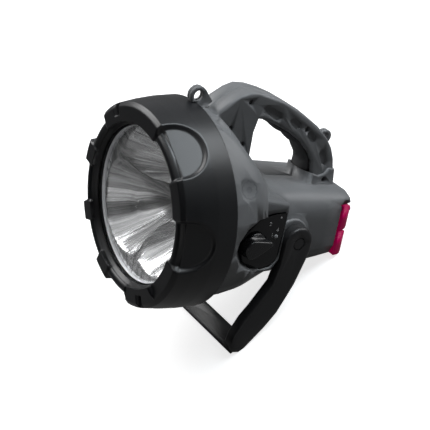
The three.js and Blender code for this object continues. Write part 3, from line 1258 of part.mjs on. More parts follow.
// Stand and its pivots
const stand = new THREE.Group();
stand.position.set(0, PIVOT_Y, PIVOT_Z);
light.add(stand);
const standParts = standForm();
const toStand = [0, -PIVOT_Y, -PIVOT_Z];
add('stand_bail', standBail(standParts).translate(toStand), blackPlastic(), stand);
for (const [side, word] of [[1, 'left'], [-1, 'right']]) {
  const shoulder = STAND_OUTER_X - PIVOT_RECESS_DEPTH + RUNNING_GAP / 2;
  const length = shoulder - PIVOT_BOSS_FACE_X + PIVOT_SCREW_LENGTH - 2 * WALL;
  const pivotScrew = screw(PIVOT_SCREW_HEAD_RADIUS, PIVOT_SCREW_HEAD_HEIGHT, PIVOT_SCREW_RADIUS, length);
  const bore = PIVOT_SCREW_RADIUS + SEAT_GAP;
  const sleeveStart = PIVOT_BOSS_FACE_X + SEAT_GAP;
  const sleeveEnd = shoulder - SEAT_GAP;
  const sleeve = turnedAboutX([
    [bore, sleeveStart], [PIVOT_SLEEVE_RADIUS, sleeveStart], [PIVOT_SLEEVE_RADIUS, sleeveEnd], [bore, sleeveEnd],
  ], SMALL_SEGMENTS);
  const capFace = STAND_OUTER_X - SEAT_GAP;
  const capBack = capFace - PIVOT_CAP_THICKNESS;
  const cap = turnedAboutX([
    [0, capBack], [PIVOT_CAP_RADIUS, capBack], [PIVOT_CAP_RADIUS, capFace - SEAT_GAP],
    [PIVOT_CAP_RADIUS * CAP_CROWN_SHARE, capFace], [0, capFace],
  ], PIVOT_SEGMENTS);
  const mirror = new THREE.Matrix4().makeScale(side, 1, 1);
  add('pivot_screw_' + word, pivotScrew.translate(shoulder, PIVOT_Y, PIVOT_Z).applyMatrix4(mirror), steel());
  add('pivot_sleeve_' + word, sleeve.translate(0, PIVOT_Y, PIVOT_Z).applyMatrix4(mirror), steel());
  add('pivot_cap_' + word, cap.applyMatrix4(mirror), blackPlastic(), stand);
  add('foot_pad_' + word, footPad(side, standParts).translate(toStand), blackPlastic(), stand);
}

// Rear lamp
function rearLens(top, bottom) {
  const shapeAt = (grow) => {
    const height = top - bottom - 2 * grow;
    const depth = REAR_LENS_BULGE - grow;
    const profile = REAR_LENS_PROFILE_SHARES.map(([y, z]) => {
      const overrun = y === 0 ? grow : 0;
      return [REAR_LENS_FRONT_Y + y * depth - overrun, top - grow - z * height];
    });
    const side = solid(slabX(profile, -REAR_LENS_HALF_WIDTH + grow, REAR_LENS_HALF_WIDTH - grow));
    const halfDepth = REAR_LENS_BULGE * 2;
    const plan = roundedRectangle(REAR_LENS_HALF_WIDTH - grow, halfDepth - grow, REAR_LENS_PLAN_RADIUS, 6);
    const slab = new THREE.ExtrudeGeometry(new THREE.Shape(asVectors(plan)), {
      depth: top - bottom + 2 * CUT_OVERRUN, bevelEnabled: false,
    });
    slab.translate(0, REAR_LENS_FRONT_Y + REAR_LENS_BULGE - halfDepth, bottom - CUT_OVERRUN);
    return side.intersect(solid(slab));
  };
  return shapeAt(0).subtract(shapeAt(REAR_LENS_WALL));
}
const rearBoardBack = REAR_RECESS_Y + SEAT_GAP + REAR_BOARD_THICKNESS;
const rearBoardReach = REAR_LENS_HALF_WIDTH - 3 * REAR_LENS_WALL;
const rearFace = REAR_LENS_FRONT_Y + REAR_LENS_BULGE;
const buttonBore = rodY(REAR_BUTTON_RADIUS + SEAT_GAP, rearBoardBack, rearFace + CUT_OVERRUN)
  .translate(REAR_BUTTON_X, 0, REAR_BUTTON_Z);
const button = rodY(REAR_BUTTON_RADIUS, rearBoardBack + SEAT_GAP, rearFace + RUNNING_GAP);
const upperLens = rearLens(REAR_LENS_TOP_Z, REAR_LENS_MIDDLE_Z + REAR_LENS_SPLIT / 2);
add('rear_lens_upper', upperLens.subtract(solid(buttonBore)), magentaPlastic());
add('rear_lens_lower', rearLens(lowerLensTop, REAR_LENS_BOTTOM_Z).subtract(under(0)), magentaPlastic());
add('rear_led_board', block(
  -rearBoardReach, rearBoardReach, REAR_RECESS_Y + SEAT_GAP, rearBoardBack,
  REAR_LENS_BOTTOM_Z + 3 * REAR_LENS_WALL, REAR_LENS_TOP_Z - 2 * REAR_LENS_WALL,
), boardGreen());
add('rear_button', button.translate(REAR_BUTTON_X, 0, REAR_BUTTON_Z), paint('#8c6282', 0.4, 0));

// Inner parts
function boxAround(y, z, size) {
  return block(-size[0] / 2, size[0] / 2, y - size[1] / 2, y + size[1] / 2, z - size[2] / 2, z + size[2] / 2);
}
add('battery_pack', boxAround(BATTERY_Y, BATTERY_Z, BATTERY_SIZE), paint('#3b4a6b', 0.5, 0));
const chargeBoardY = BATTERY_Y - BATTERY_SIZE[1] / 2 - SEAT_GAP - CHARGE_BOARD_SIZE[1] / 2;
add('charge_board', boxAround(chargeBoardY, CHARGE_BOARD_Z, CHARGE_BOARD_SIZE), boardGreen());
add('dc_socket', dcSocket(), blackPlastic());

// Stand the light on its foot pads and tail, with the origin under the middle of its outer box
light.rotation.x = pitch;
flashlight.updateMatrixWorld(true);
const bounds = new THREE.Box3().setFromObject(flashlight, true);
const middle = bounds.getCenter(new THREE.Vector3());
light.position.set(-middle.x, -middle.y, -bounds.min.z);

export default flashlight;
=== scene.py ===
"""Looks of the rechargeable searchlight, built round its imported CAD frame. Metres, +Z up."""
import math

import bmesh
import bpy
from mathutils import Matrix, Vector
from mathutils.bvhtree import BVHTree


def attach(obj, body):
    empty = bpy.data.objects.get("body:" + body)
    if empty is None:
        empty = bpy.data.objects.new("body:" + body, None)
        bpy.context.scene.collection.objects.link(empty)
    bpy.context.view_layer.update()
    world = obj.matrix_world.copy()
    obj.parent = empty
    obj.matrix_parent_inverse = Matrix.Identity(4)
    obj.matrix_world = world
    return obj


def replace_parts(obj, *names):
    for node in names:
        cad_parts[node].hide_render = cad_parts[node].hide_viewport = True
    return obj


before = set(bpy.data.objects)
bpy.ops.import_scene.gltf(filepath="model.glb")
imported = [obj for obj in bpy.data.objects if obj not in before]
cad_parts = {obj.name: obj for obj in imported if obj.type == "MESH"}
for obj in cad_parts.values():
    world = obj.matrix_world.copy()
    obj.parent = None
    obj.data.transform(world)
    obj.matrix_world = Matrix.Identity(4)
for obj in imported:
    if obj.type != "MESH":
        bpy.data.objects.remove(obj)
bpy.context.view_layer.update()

MM = 0.001
WHITE = (1.0, 1.0, 1.0)

# The light is drawn in its own level frame (beam along -Y) and pitched nose-up in the row frame
PITCH = math.radians(-34.19089564)
SHIFT = Vector((0.0, -75.86117229, 160.55121695)) * MM
TILT = Matrix.Rotation(PITCH, 4, "X")
PLACE = Matrix.Translation(SHIFT) @ TILT
UNPLACE = PLACE.inverted()


def at(x, y, z):
    """A point given in the light's level frame in millimetres, in the row frame in metres."""
    return PLACE @ (Vector((x, y, z)) * MM)


# Node helpers

def new_material(name):
    material = bpy.data.materials.new(name)
    material.use_nodes = True
    tree = material.node_tree
    return material, tree, tree.nodes["Principled BSDF"]


def node(tree, kind, **values):
    made = tree.nodes.new(kind)
    for key, value in values.items():
        setattr(made, key, value)
    return made


def wire(tree, value, socket):
    """Links an output to a socket, or sets the socket to a plain value."""
    if isinstance(value, bpy.types.NodeSocket):
        tree.links.new(value, socket)
    elif isinstance(value, tuple):
        socket.default_value = (*value, 1.0)
    else:
        socket.default_value = value


def maths(tree, operation, *values):
    made = node(tree, "ShaderNodeMath", operation=operation)
    for value, socket in zip(values, made.inputs):
        wire(tree, value, socket)
    return made.outputs[0]


def object_place(tree):
    return node(tree, "ShaderNodeTexCoord").outputs["Object"]


def mapped(tree, vector, scale):
    made = node(tree, "ShaderNodeMapping")
    made.inputs["Scale"].default_value = scale
    tree.links.new(vector, made.inputs["Vector"])
    return made.outputs["Vector"]


def noise(tree, vector, scale, detail=2.0, roughness=0.5, stretch=None):
    made = node(tree, "ShaderNodeTexNoise")
    made.inputs["Scale"].default_value = scale
    made.inputs["Detail"].default_value = detail
    made.inputs["Roughness"].default_value = roughness
    tree.links.new(mapped(tree, vector, stretch) if stretch else vector, made.inputs["Vector"])
    return made.outputs["Fac"]


def ranged(tree, value, low, high, from_low=0.3, from_high=0.7):
    """A value that runs from low to high while the input runs over the given span."""
    made = node(tree, "ShaderNodeMapRange")
    made.inputs["From Min"].default_value = from_low
    made.inputs["From Max"].default_value = from_high
    made.inputs["To Min"].default_value = low
    made.inputs["To Max"].default_value = high
    tree.links.new(value, made.inputs["Value"])
    return made.outputs["Result"]


def mixed(tree, factor, first, second):
    """Mix of two colours: the mix node keeps its colour sockets at 6, 7 and output 2."""
    made = node(tree, "ShaderNodeMix", data_type="RGBA")
    wire(tree, first, made.inputs[6])
    wire(tree, second, made.inputs[7])
    wire(tree, factor, made.inputs["Factor"])
    return made.outputs[2]


def bumped(tree, shader, height, strength, distance, normal=None):
    made = node(tree, "ShaderNodeBump")
    made.inputs["Strength"].default_value = strength
    made.inputs["Distance"].default_value = distance
    tree.links.new(height, made.inputs["Height"])
    if normal:
        tree.links.new(normal, made.inputs["Normal"])
    tree.links.new(made.outputs["Normal"], shader.inputs["Normal"])


def dotted(tree, first):
    """A dot product whose second side is still to be set."""
    made = node(tree, "ShaderNodeVectorMath", operation="DOT_PRODUCT")
    tree.links.new(first, made.inputs[0])
    return made


BEVEL_SAMPLES = 6
# Likeness of the rounded and the plain normal at which a place counts fully as an edge, or not at all
EDGE_FULL, EDGE_NONE = 0.75, 0.97


def rounded(tree, radius):
    """Normal of the surface with its edges rounded over, and a mask that is 1 along those edges."""
    bevel = node(tree, "ShaderNodeBevel", samples=BEVEL_SAMPLES)
    bevel.inputs["Radius"].default_value = radius
    plain = node(tree, "ShaderNodeNewGeometry").outputs["Normal"]
    likeness = dotted(tree, bevel.outputs[0])
    tree.links.new(plain, likeness.inputs[1])
    mask = ranged(tree, likeness.outputs["Value"], 1.0, 0.0, EDGE_FULL, EDGE_NONE)
    return bevel.outputs[0], mask


def scaled(colour, factor):
    return tuple(c * factor for c in colour)


# Materials

CLOUD_SCALE, CLOUD_DETAIL = 38, 3.0
GRAIN_BUMP = 0.35
GLOSSIER, DULLER = 0.05, 0.06


def moulded(name, colour, roughness, grain=2600, depth=0.00004, level=0.35, edge=0.0009,
            wear_and_highlight=1.5, mottle=0.06):
    """Moulded plastic: fine spark-eroded grain, slight clouding, and rounded edges painted paler, partly as
    rubbed wear and partly as painted highlight.
    """
    material, tree, shader = new_material(name)
    vector = object_place(tree)
    cloud = noise(tree, vector, CLOUD_SCALE, CLOUD_DETAIL)
    fine = noise(tree, vector, grain)
    normal, mask = rounded(tree, edge)
    dark, pale = scaled(colour, 1 - mottle), scaled(colour, 1 + mottle)
    tint = mixed(tree, ranged(tree, cloud, 0.0, 1.0), dark, pale)
    # Edges painted paler along the mask: partly rubbed wear, partly a painted highlight along them
    wire(tree, mixed(tree, mask, tint, scaled(colour, wear_and_highlight)), shader.inputs["Base Color"])
    wire(tree, ranged(tree, fine, roughness - GLOSSIER, roughness + DULLER), shader.inputs["Roughness"])
    shader.inputs["Specular IOR Level"].default_value = level
    bumped(tree, shader, fine, GRAIN_BUMP, depth, normal)
    return material


SCRATCH_STRETCH = (1.0, 0.1, 1.0)
SCRATCH_DETAIL, SCRATCH_ROUGHNESS = 4.0, 0.7
SCRATCH_SHADE, SCRATCH_GLOSS, SCRATCH_DULL = 0.8, 0.8, 1.3
SCRATCH_BUMP, SCRATCH_DEPTH = 0.2, 0.00002


def metal(name, colour, roughness, scratch=900):
    """Bare metal with fine turned scratches."""
    material, tree, shader = new_material(name)
    lines = noise(tree, object_place(tree), scratch, SCRATCH_DETAIL, SCRATCH_ROUGHNESS, SCRATCH_STRETCH)
    tint = mixed(tree, ranged(tree, lines, 0, 1), scaled(colour, SCRATCH_SHADE), colour)
    wire(tree, tint, shader.inputs["Base Color"])
    shader.inputs["Metallic"].default_value = 1.0
    gloss = ranged(tree, lines, roughness * SCRATCH_GLOSS, roughness * SCRATCH_DULL)
    wire(tree, gloss, shader.inputs["Roughness"])
    bumped(tree, shader, lines, SCRATCH_BUMP, SCRATCH_DEPTH)
    return material


# Streaks of painted reflection on the metallised film, whose broad noise also bumps it: how far noise is
# squeezed round a bowl and along it
BROAD_FLOW, BROAD_DETAIL, BROAD_ROUGHNESS, BROAD_SHARE = (9.0, 0.6, 1.0), 3.0, 0.55, 0.75
FINE_FLOW, FINE_SHARE = (34.0, 0.8, 1.0), 0.25
FILM_SPAN = (0.36, 0.62)
PAINTED_REFLECTION_DARK, PAINTED_REFLECTION_BRIGHT, RIDGE_PAINTED_SHADE = (0.4, 0.4, 0.4), (0.9, 0.9, 0.9), (0.06, 0.06, 0.06)
# Distances from a ridge in millimetres between which its line of painted shade fades
RIDGE_LINE = (0.15, 0.6)
FILM_METALLIC = 0.85
FILM_ROUGHNESS = (0.17, 0.22)
DUST_SCALE, DUST_DETAIL, DUST_ROUGHNESS = 900, 3.0, 0.6
FILM_BUMP, FILM_DEPTH = 0.3, 0.0016


def mirror():
    """Vacuum-metallised bowls: bright film with streaks of painted reflection that run down each bowl, and a
    line of painted shade along each ridge.
    """
    material, tree, shader = new_material("metallised_mirror")
    flow = node(tree, "ShaderNodeUVMap", uv_map="flow").outputs["UV"]
    broad = noise(tree, flow, 1.0, BROAD_DETAIL, BROAD_ROUGHNESS, BROAD_FLOW)
    fine = noise(tree, flow, 1.0, stretch=FINE_FLOW)
    dust = noise(tree, object_place(tree), DUST_SCALE, DUST_DETAIL, DUST_ROUGHNESS)
    reflection_streaks = maths(tree, "ADD", maths(tree, "MULTIPLY", broad, BROAD_SHARE),
                    maths(tree, "MULTIPLY", fine, FINE_SHARE))
    # Dark and bright streaks painted into the colour: painted reflection
    film = mixed(tree, ranged(tree, reflection_streaks, 0.0, 1.0, *FILM_SPAN), PAINTED_REFLECTION_DARK, PAINTED_REFLECTION_BRIGHT)
    away = node(tree, "ShaderNodeSeparateXYZ")
    tree.links.new(node(tree, "ShaderNodeUVMap", uv_map="ridge").outputs["UV"], away.inputs[0])
    # Dark line painted along each ridge where two bowls meet: painted shade
    line = ranged(tree, away.outputs["X"], 0.0, 1.0, *RIDGE_LINE)
    wire(tree, mixed(tree, line, RIDGE_PAINTED_SHADE, film), shader.inputs["Base Color"])
    shader.inputs["Metallic"].default_value = FILM_METALLIC
    wire(tree, ranged(tree, dust, *FILM_ROUGHNESS), shader.inputs["Roughness"])
    bumped(tree, shader, broad, FILM_BUMP, FILM_DEPTH)
    return material


def blended(tree, factor, first, second, output):
    """Mixes two shaders by a factor and sends them to the tree's output."""
    blend = node(tree, "ShaderNodeMixShader")
    tree.links.new(factor, blend.inputs[0])
    tree.links.new(first.outputs[0], blend.inputs[1])
    tree.links.new(second.outputs[0], blend.inputs[2])
    tree.links.new(blend.outputs[0], tree.nodes[output].inputs["Surface"])


LENS_TINTS = (0.95, 0.955, 0.96), (0.98, 0.985, 0.99)
LENS_HAZE_SCALE, LENS_HAZE = 300, 0.02
LENS_BENDING = 1.01
LENS_COAT = {"Coat Weight": 0.6, "Coat IOR": 1.45, "Coat Roughness": 0.03}


def clear_lens():
    """Thin clear lens: faint sheen, hardly any bending of the light, a little haze from dust."""
    material, tree, shader = new_material("clear_lens")
    haze = noise(tree, object_place(tree), LENS_HAZE_SCALE)
    wire(tree, mixed(tree, ranged(tree, haze, 0.0, 1.0), *LENS_TINTS), shader.inputs["Base Color"])
    shader.inputs["Transmission Weight"].default_value = 1.0
    shader.inputs["IOR"].default_value = LENS_BENDING
    wire(tree, ranged(tree, haze, 0.0, LENS_HAZE), shader.inputs["Roughness"])
    for socket, value in LENS_COAT.items():
        shader.inputs[socket].default_value = value
    # Shadow rays pass, so that what is behind the lens is lit
    path = node(tree, "ShaderNodeLightPath")
    clear = node(tree, "ShaderNodeBsdfTransparent")
    blended(tree, path.outputs["Is Shadow Ray"], shader, clear, "Material Output")
    return material


FLUTE_SCALE, FLUTE_DISTORTION, FLUTE_SHADE = 90, 0.3, 0.75
FLUTE_BUMP, FLUTE_DEPTH, FLUTE_EDGE = 0.3, 0.0004, 0.0012
TINTED_SPECKLE, TINTED_ROUGHNESS = 500, (0.3, 0.42)
TINTED_LEVEL, TINTED_PAINTED_GLOW = 0.12, 0.45


def tinted_lens(name, colour):
    """Tinted rear lens: glossy, with moulded flutes showing in the colour below the surface, and a faint
    painted glow though it is not lit.
    """
    material, tree, shader = new_material(name)
    vector = object_place(tree)
    wave = node(tree, "ShaderNodeTexWave", wave_type="BANDS", bands_direction="X")
    wave.inputs["Scale"].default_value = FLUTE_SCALE
    wave.inputs["Distortion"].default_value = FLUTE_DISTORTION
    tree.links.new(vector, wave.inputs["Vector"])
    tint = mixed(tree, wave.outputs["Fac"], scaled(colour, FLUTE_SHADE), colour)
    wire(tree, tint, shader.inputs["Base Color"])
    speckle = noise(tree, vector, TINTED_SPECKLE)
    wire(tree, ranged(tree, speckle, *TINTED_ROUGHNESS), shader.inputs["Roughness"])
    shader.inputs["Specular IOR Level"].default_value = TINTED_LEVEL
    # Emission here is painted light: the unlit lens glows a little to look brighter
    shader.inputs["Emission Color"].default_value = (*colour, 1)
    shader.inputs["Emission Strength"].default_value = TINTED_PAINTED_GLOW
    normal, _ = rounded(tree, FLUTE_EDGE)
    bumped(tree, shader, wave.outputs["Fac"], FLUTE_BUMP, FLUTE_DEPTH, normal)
    return material


BEZEL = moulded("bezel_satin_black", (0.0072, 0.0077, 0.0088), 0.33, level=0.45, wear_and_highlight=1.8)
SHELL = moulded("shell_grey", (0.13, 0.133, 0.137), 0.42, level=0.3, wear_and_highlight=1.35)
# Same plastic as the shell, a shade darker: painted shade in the dishes
SHADED_DIMPLE = moulded("dimple_grey", (0.112, 0.115, 0.119), 0.44, level=0.25, edge=0.00002, wear_and_highlight=1.0)
GRIP = moulded("grip_rubber", (0.05, 0.05, 0.051), 0.6, grain=1800, depth=0.00008, level=0.2)
GLOSS = moulded("gloss_black", (0.006, 0.006, 0.007), 0.2, grain=800, depth=0.00001, level=0.4)
# The knob's edges are painted much paler: a painted highlight along its outline
KNOB = moulded("knob_black", (0.007, 0.007, 0.008), 0.24, grain=800, depth=0.00001, level=0.5,
               edge=0.0007, wear_and_highlight=11)
STAND = moulded("stand_black", (0.014, 0.014, 0.015), 0.34, level=0.45, edge=0.0016, wear_and_highlight=2.0)
RUBBER = moulded("black_rubber", (0.012, 0.012, 0.012), 0.7, grain=1500, depth=0.0001, level=0.2)
BUTTON = moulded("button_grey", (0.22, 0.225, 0.23), 0.5)
NUB = moulded("button_purple", (0.2, 0.08, 0.2), 0.35)
PRINT = moulded("printed_marks", (0.5, 0.5, 0.5), 0.5, edge=0.00005, wear_and_highlight=1.0)
# Pale bead round the reflector's rim: a painted highlight along the lens edge
RIM_PAINTED_HIGHLIGHT = moulded("rim_painted_highlight", (0.78, 0.79, 0.81), 0.25, level=0.6, edge=0.0002)
WHITE_BOARD = moulded("board_white", (0.72, 0.72, 0.7), 0.5)
GREEN_BOARD = moulded("board_green", (0.02, 0.12, 0.05), 0.4)
WRAP = moulded("battery_wrap", (0.03, 0.06, 0.16), 0.35)
PHOSPHOR = moulded("led_phosphor", (0.8, 0.62, 0.12), 0.3, grain=600, depth=0.00002)
STEEL = metal("zinc_steel", (0.3, 0.3, 0.31), 0.4)
SINK = metal("extruded_aluminium", (0.62, 0.63, 0.65), 0.4, scratch=500)
CHROME = mirror()
GLASS = clear_lens()
MAGENTA = tinted_lens("magenta_lens", (0.27, 0.0005, 0.05))

# The bezel, reflector and front lens have finer pieces of their own further down
PAINT = [
    (SHELL, "housing_left", "housing_right"),
    (GRIP, "finger_grip"),
    (GLOSS, "dial_plate", "switch_body"),
    (KNOB, "selector_knob"),
    (STAND, "stand_bail", "pivot_cap_left", "pivot_cap_right", "dc_socket"),
    (RUBBER, "lens_gasket", "foot_pad_left", "foot_pad_right"),
    (WHITE_BOARD, "led_board"),
    (PHOSPHOR, "led_1", "led_2", "led_3"),
    (SINK, "heat_sink"),
    (BUTTON, "pilot_button"),
    (NUB, "rear_button"),
    (MAGENTA, "rear_lens_upper", "rear_lens_lower"),
    (GREEN_BOARD, "rear_led_board", "charge_board"),
    (WRAP, "battery_pack"),
    (STEEL, "selector_shaft", *(
        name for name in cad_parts
        if name.startswith(("handle_screw", "pivot_screw", "pivot_sleeve"))
    )),
]


# Shading

FLATS_WEIGHT = 80
WELD_DISTANCE = 0.000004
SMOOTH_BELOW = 32


def shade(piece, angle):
    """Shades smooth below an edge angle in degrees."""
    for other in bpy.context.selected_objects:
        other.select_set(False)
    bpy.context.view_layer.objects.active = piece
    piece.select_set(True)
    bpy.ops.object.shade_auto_smooth(angle=math.radians(angle))


def soften(name):
    """Joins the split corners of a carried-over node and shades it smooth, large flats kept flat."""
    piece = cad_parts[name]
    weld = piece.modifiers.new("weld", "WELD")
    weld.merge_threshold = WELD_DISTANCE
    for face in piece.data.polygons:
        face.use_smooth = True
    piece.data.normals_split_custom_set([(0, 0, 0)] * len(piece.data.loops))
    shade(piece, SMOOTH_BELOW)
    weighted = piece.modifiers.new("flats", "WEIGHTED_NORMAL")
    weighted.keep_sharp = True
    weighted.weight = FLATS_WEIGHT


for material, *names in PAINT:
    for name in names:
        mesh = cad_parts[name].data
        mesh.materials.clear()
        mesh.materials.append(material)
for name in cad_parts:
    soften(name)


# Pieces of the looks

def new_piece(name, points, faces, material, smooth=None):
    """A piece that rides on the light, from points in the light's frame in millimetres."""
    mesh = bpy.data.meshes.new(name)
    mesh.from_pydata([at(*p) for p in points], [], faces)
    mesh.update()
    mesh.materials.append(material)
    piece = bpy.data.objects.new(name, mesh)
    bpy.context.scene.collection.objects.link(piece)
    if smooth is not None:
        for face in mesh.polygons:
            face.use_smooth = True
        shade(piece, smooth)
    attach(piece, "light")
    return piece


def face_outward(piece, merge=None, outward=None):
    """Turns all faces the same way out, after joining points closer than a distance if asked."""
    grown = bmesh.new()
    grown.from_mesh(piece.data)
    if merge:
        bmesh.ops.remove_doubles(grown, verts=grown.verts, dist=merge)
    bmesh.ops.recalc_face_normals(grown, faces=grown.faces)
    if outward is not None and Vector(grown.faces[0].normal).dot(TILT.to_3x3() @ outward) < 0:
        bmesh.ops.reverse_faces(grown, faces=grown.faces)
    grown.to_mesh(piece.data)


def table(pairs, x):
    """The value at x of a line through (x, value) pairs."""
    for (x0, y0), (x1, y1) in zip(pairs, pairs[1:]):
        if x <= x1:
            share = (x - x0) / (x1 - x0)
            return y0 + (y1 - y0) * share
    return pairs[-1][1]


def step(x, width):
    """Smooth step from 0 to 1 across x = 0."""
    share = min(max(x / width + 0.5, 0.0), 1.0)
    return share * share * (3 - 2 * share)


# Reflector: three bowls that meet in ridges, drawn fine enough for clean reflections
RIM_RADIUS = 68.7
FLANGE_FRONT = 8.2
LOBES = 3
LOBE_RADIUS = 45.0
LOBE_OFFSET = 24.5
LOBE_DEPTH = 52.0
LOBE_HOLE = 5.2
SECTOR = math.radians(60)
# Depth of the ridge between two bowls at distances from the beam's axis
RIDGE = [(0, 40), (14, 39), (20, 36), (25, 23), (33, 14.2), (42, 8.2), (55, 3.4), (62, 2.7), (70, 2.6)]
RIDGE_SHARPNESS = 3
RIM_RAYS = 36
RIDGE_RAYS = 26
RAY_STEPS = 30
# Each bowl reads its streaks of painted reflection from its own stretch of the noise
FLOW_SHIFT = 7
BOWL_MERGE = 0.00002
BOWL_SMOOTH = 25
NEARLY_ZERO = 1e-6


def bowl_depth(x, z):
    """Depth behind the flange at a point of the sector whose middle points up."""
    away = math.hypot(x, z - LOBE_OFFSET)
    bowl = max(LOBE_DEPTH * (1 - (away / LOBE_RADIUS) ** 2), RIDGE[-1][1])
    turn = min(abs(math.atan2(x, z)) / SECTOR, 1.0)
    ridge = min(table(RIDGE, math.hypot(x, z)), bowl)
    return bowl + (ridge - bowl) * turn ** RIDGE_SHARPNESS


def ray_length(turn):
    """Length of a ray from the bowl's middle to the edge of its sector or to the rim."""
    dx, dz = math.sin(turn), math.cos(turn)
    along = -LOBE_OFFSET * dz + math.sqrt(RIM_RADIUS ** 2 - (LOBE_OFFSET * dx) ** 2)
    # Sector's side through the axis: points with x = z tan(60)
    leaning = abs(dx) - dz * math.tan(SECTOR)
    if leaning > NEARLY_ZERO:
        along = min(along, LOBE_OFFSET * math.tan(SECTOR) / leaning)
    return along


def reflector():
    corner_x = RIM_RADIUS * math.sin(SECTOR)
    corner_z = RIM_RADIUS * math.cos(SECTOR) - LOBE_OFFSET
    corner = math.atan2(corner_x, corner_z)
    turns = [corner * i / RIM_RAYS for i in range(-RIM_RAYS, RIM_RAYS)]
    turns += [corner + (2 * math.pi - 2 * corner) * i / (2 * RIDGE_RAYS) for i in range(2 * RIDGE_RAYS)]
    width = RAY_STEPS + 1
    points, faces, flow, ridges = [], [], [], []
    for sector in range(LOBES):
        base = len(points)
        spin = sector * 2 * SECTOR
        for turn in turns:
            reach = ray_length(turn)
            for i in range(width):
                away = LOBE_HOLE + (reach - LOBE_HOLE) * i / RAY_STEPS
                x, z = away * math.sin(turn), LOBE_OFFSET + away * math.cos(turn)
                points.append((
                    x * math.cos(spin) + z * math.sin(spin), FLANGE_FRONT + bowl_depth(x, z),
                    z * math.cos(spin) - x * math.sin(spin),
                ))
                flow.append((turn + FLOW_SHIFT * sector, away / LOBE_RADIUS))
                ridges.append((abs(abs(x) * math.cos(SECTOR) - z * math.sin(SECTOR)), 0.0))
        for i in range(len(turns)):
            for j in range(RAY_STEPS):
                a, b = base + i * width + j, base + (i + 1) % len(turns) * width + j
                faces.append((a, b, b + 1, a + 1))
    piece = new_piece("reflector_bowls", points, faces, CHROME, BOWL_SMOOTH)
    for layer, values in (("flow", flow), ("ridge", ridges)):
        uv = piece.data.uv_layers.new(name=layer)
        for loop in piece.data.loops:
            uv.data[loop.index].uv = values[loop.vertex_index]
    face_outward(piece, merge=BOWL_MERGE)
    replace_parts(piece, "reflector")


# Bead round the reflector's rim and the lens, as closed outlines of (radius, y)
RIM_BEAD = [(68.6, 11.4), (68.6, 8.7), (68.8, 8.1), (69.3, 7.8), (69.8, 8.1), (70.0, 8.7), (70.0, 11.4)]
LENS_FRONT = [(0.01, 4.9), (20, 4.95), (40, 5.1), (60, 5.32), (69, 5.45), (79.5, 5.45), (80.0, 5.8)]
LENS_BACK = [(80.0, 7.4), (79.6, 7.7), (69, 7.7), (60, 7.4), (40, 6.9), (20, 6.65), (0.01, 6.6)]
RING_SIDES = 120
RING_SMOOTH = 40


def ring_piece(name, profile, material):
    """A closed ring about the beam's axis from (radius, y) pairs."""
    points, faces = [], []
    for i in range(RING_SIDES):
        turn = 2 * math.pi * i / RING_SIDES
        points += [(r * math.sin(turn), y, r * math.cos(turn)) for r, y in profile]
    width = len(profile)
    for i in range(RING_SIDES):
        for j in range(width):
            a, b = i * width, (i + 1) % RING_SIDES * width
            k = (j + 1) % width
            faces.append((a + j, b + j, b + k, a + k))
    piece = new_piece(name, points, faces, material, RING_SMOOTH)
    face_outward(piece)
    return piece


# Bezel: the CAD's dome, scoops, lands and bar on a grid fine enough for soft, clean edges.
# Outlines are (radius, y) pairs, and places round the rim are degrees from the top.
FACE_EDGE = (90, 0)
DOME = [
    (94.5, 47), (94.03, 29.1), (92.4, 14), FACE_EDGE, (87, -2.4), (82, -5.2), (79, -6.3),
    (74.8, -6.9), (73.3, -5.5),
]
THROAT = [(73.2, 1.5), (70.3, 3.4), (70.3, 4.4)]
INNER = [(81.9, 4.4), (81.9, 26.4), (91.4, 33.4), (91.4, 47)]
# Round bar that closes the scoops at the front
BAR_FRONT = [
    (83.3, 3.2), (83.0, 1.7), (82.0, -0.4), (80.2, -1.7), (78, -2.1), (75.8, -1.7), (74, -0.4), (73.4, 1.5),
]
# Middle and half width of each scoop, and the angle past its edge where it no longer counts
SCOOPS = [(34.5, 16), (88.3, 14.2), (182, 13), (222.8, 12.6), (261, 13), (299.8, 11.8)]
SCOOP_MARGIN = 6
SCOOP_FLOOR, SCOOP_START, SCOOP_LENGTH, SCOOP_RISE = 83.2, 3.0, 24.5, 7.8
SCOOP_LIP = 0.2
SCOOP_WALL = 1.6
# Start and end of each faced land, and the middle of its notch
LANDS = [(311.6, 359.6, 329), (133, 169, 151.5)]
LAND_FACE, LAND_EASE = -3.0, 0.8
NOTCH_FLOOR, NOTCH_RADIUS, NOTCH_HALF, NOTCH_WALL = 0.2, 79.0, 4.0, 1.0
COLUMNS = 720
DOME_ROWS, FRONT_ROWS = 64, 34
FINENESS, EASING_PASSES = 4, 20
BEZEL_SMOOTH = 60


def resampled(pairs, count):
    """Points evenly spaced along a polyline, its corners eased."""
    lengths = [0.0]
    for (a, b), (c, d) in zip(pairs, pairs[1:]):
        lengths.append(lengths[-1] + math.hypot(c - a, d - b))
    tables = [list(zip(lengths, values)) for values in zip(*pairs)]
    total = count * FINENESS
    fine = [tuple(table(pair, lengths[-1] * i / total) for pair in tables) for i in range(total + 1)]
    for _ in range(EASING_PASSES):
        eased = [
            tuple((a[k] + 2 * b[k] + c[k]) / 4 for k in (0, 1)) for a, b, c in zip(fine, fine[1:], fine[2:])
        ]
        fine = [fine[0], *eased, fine[-1]]
    return fine[::FINENESS]


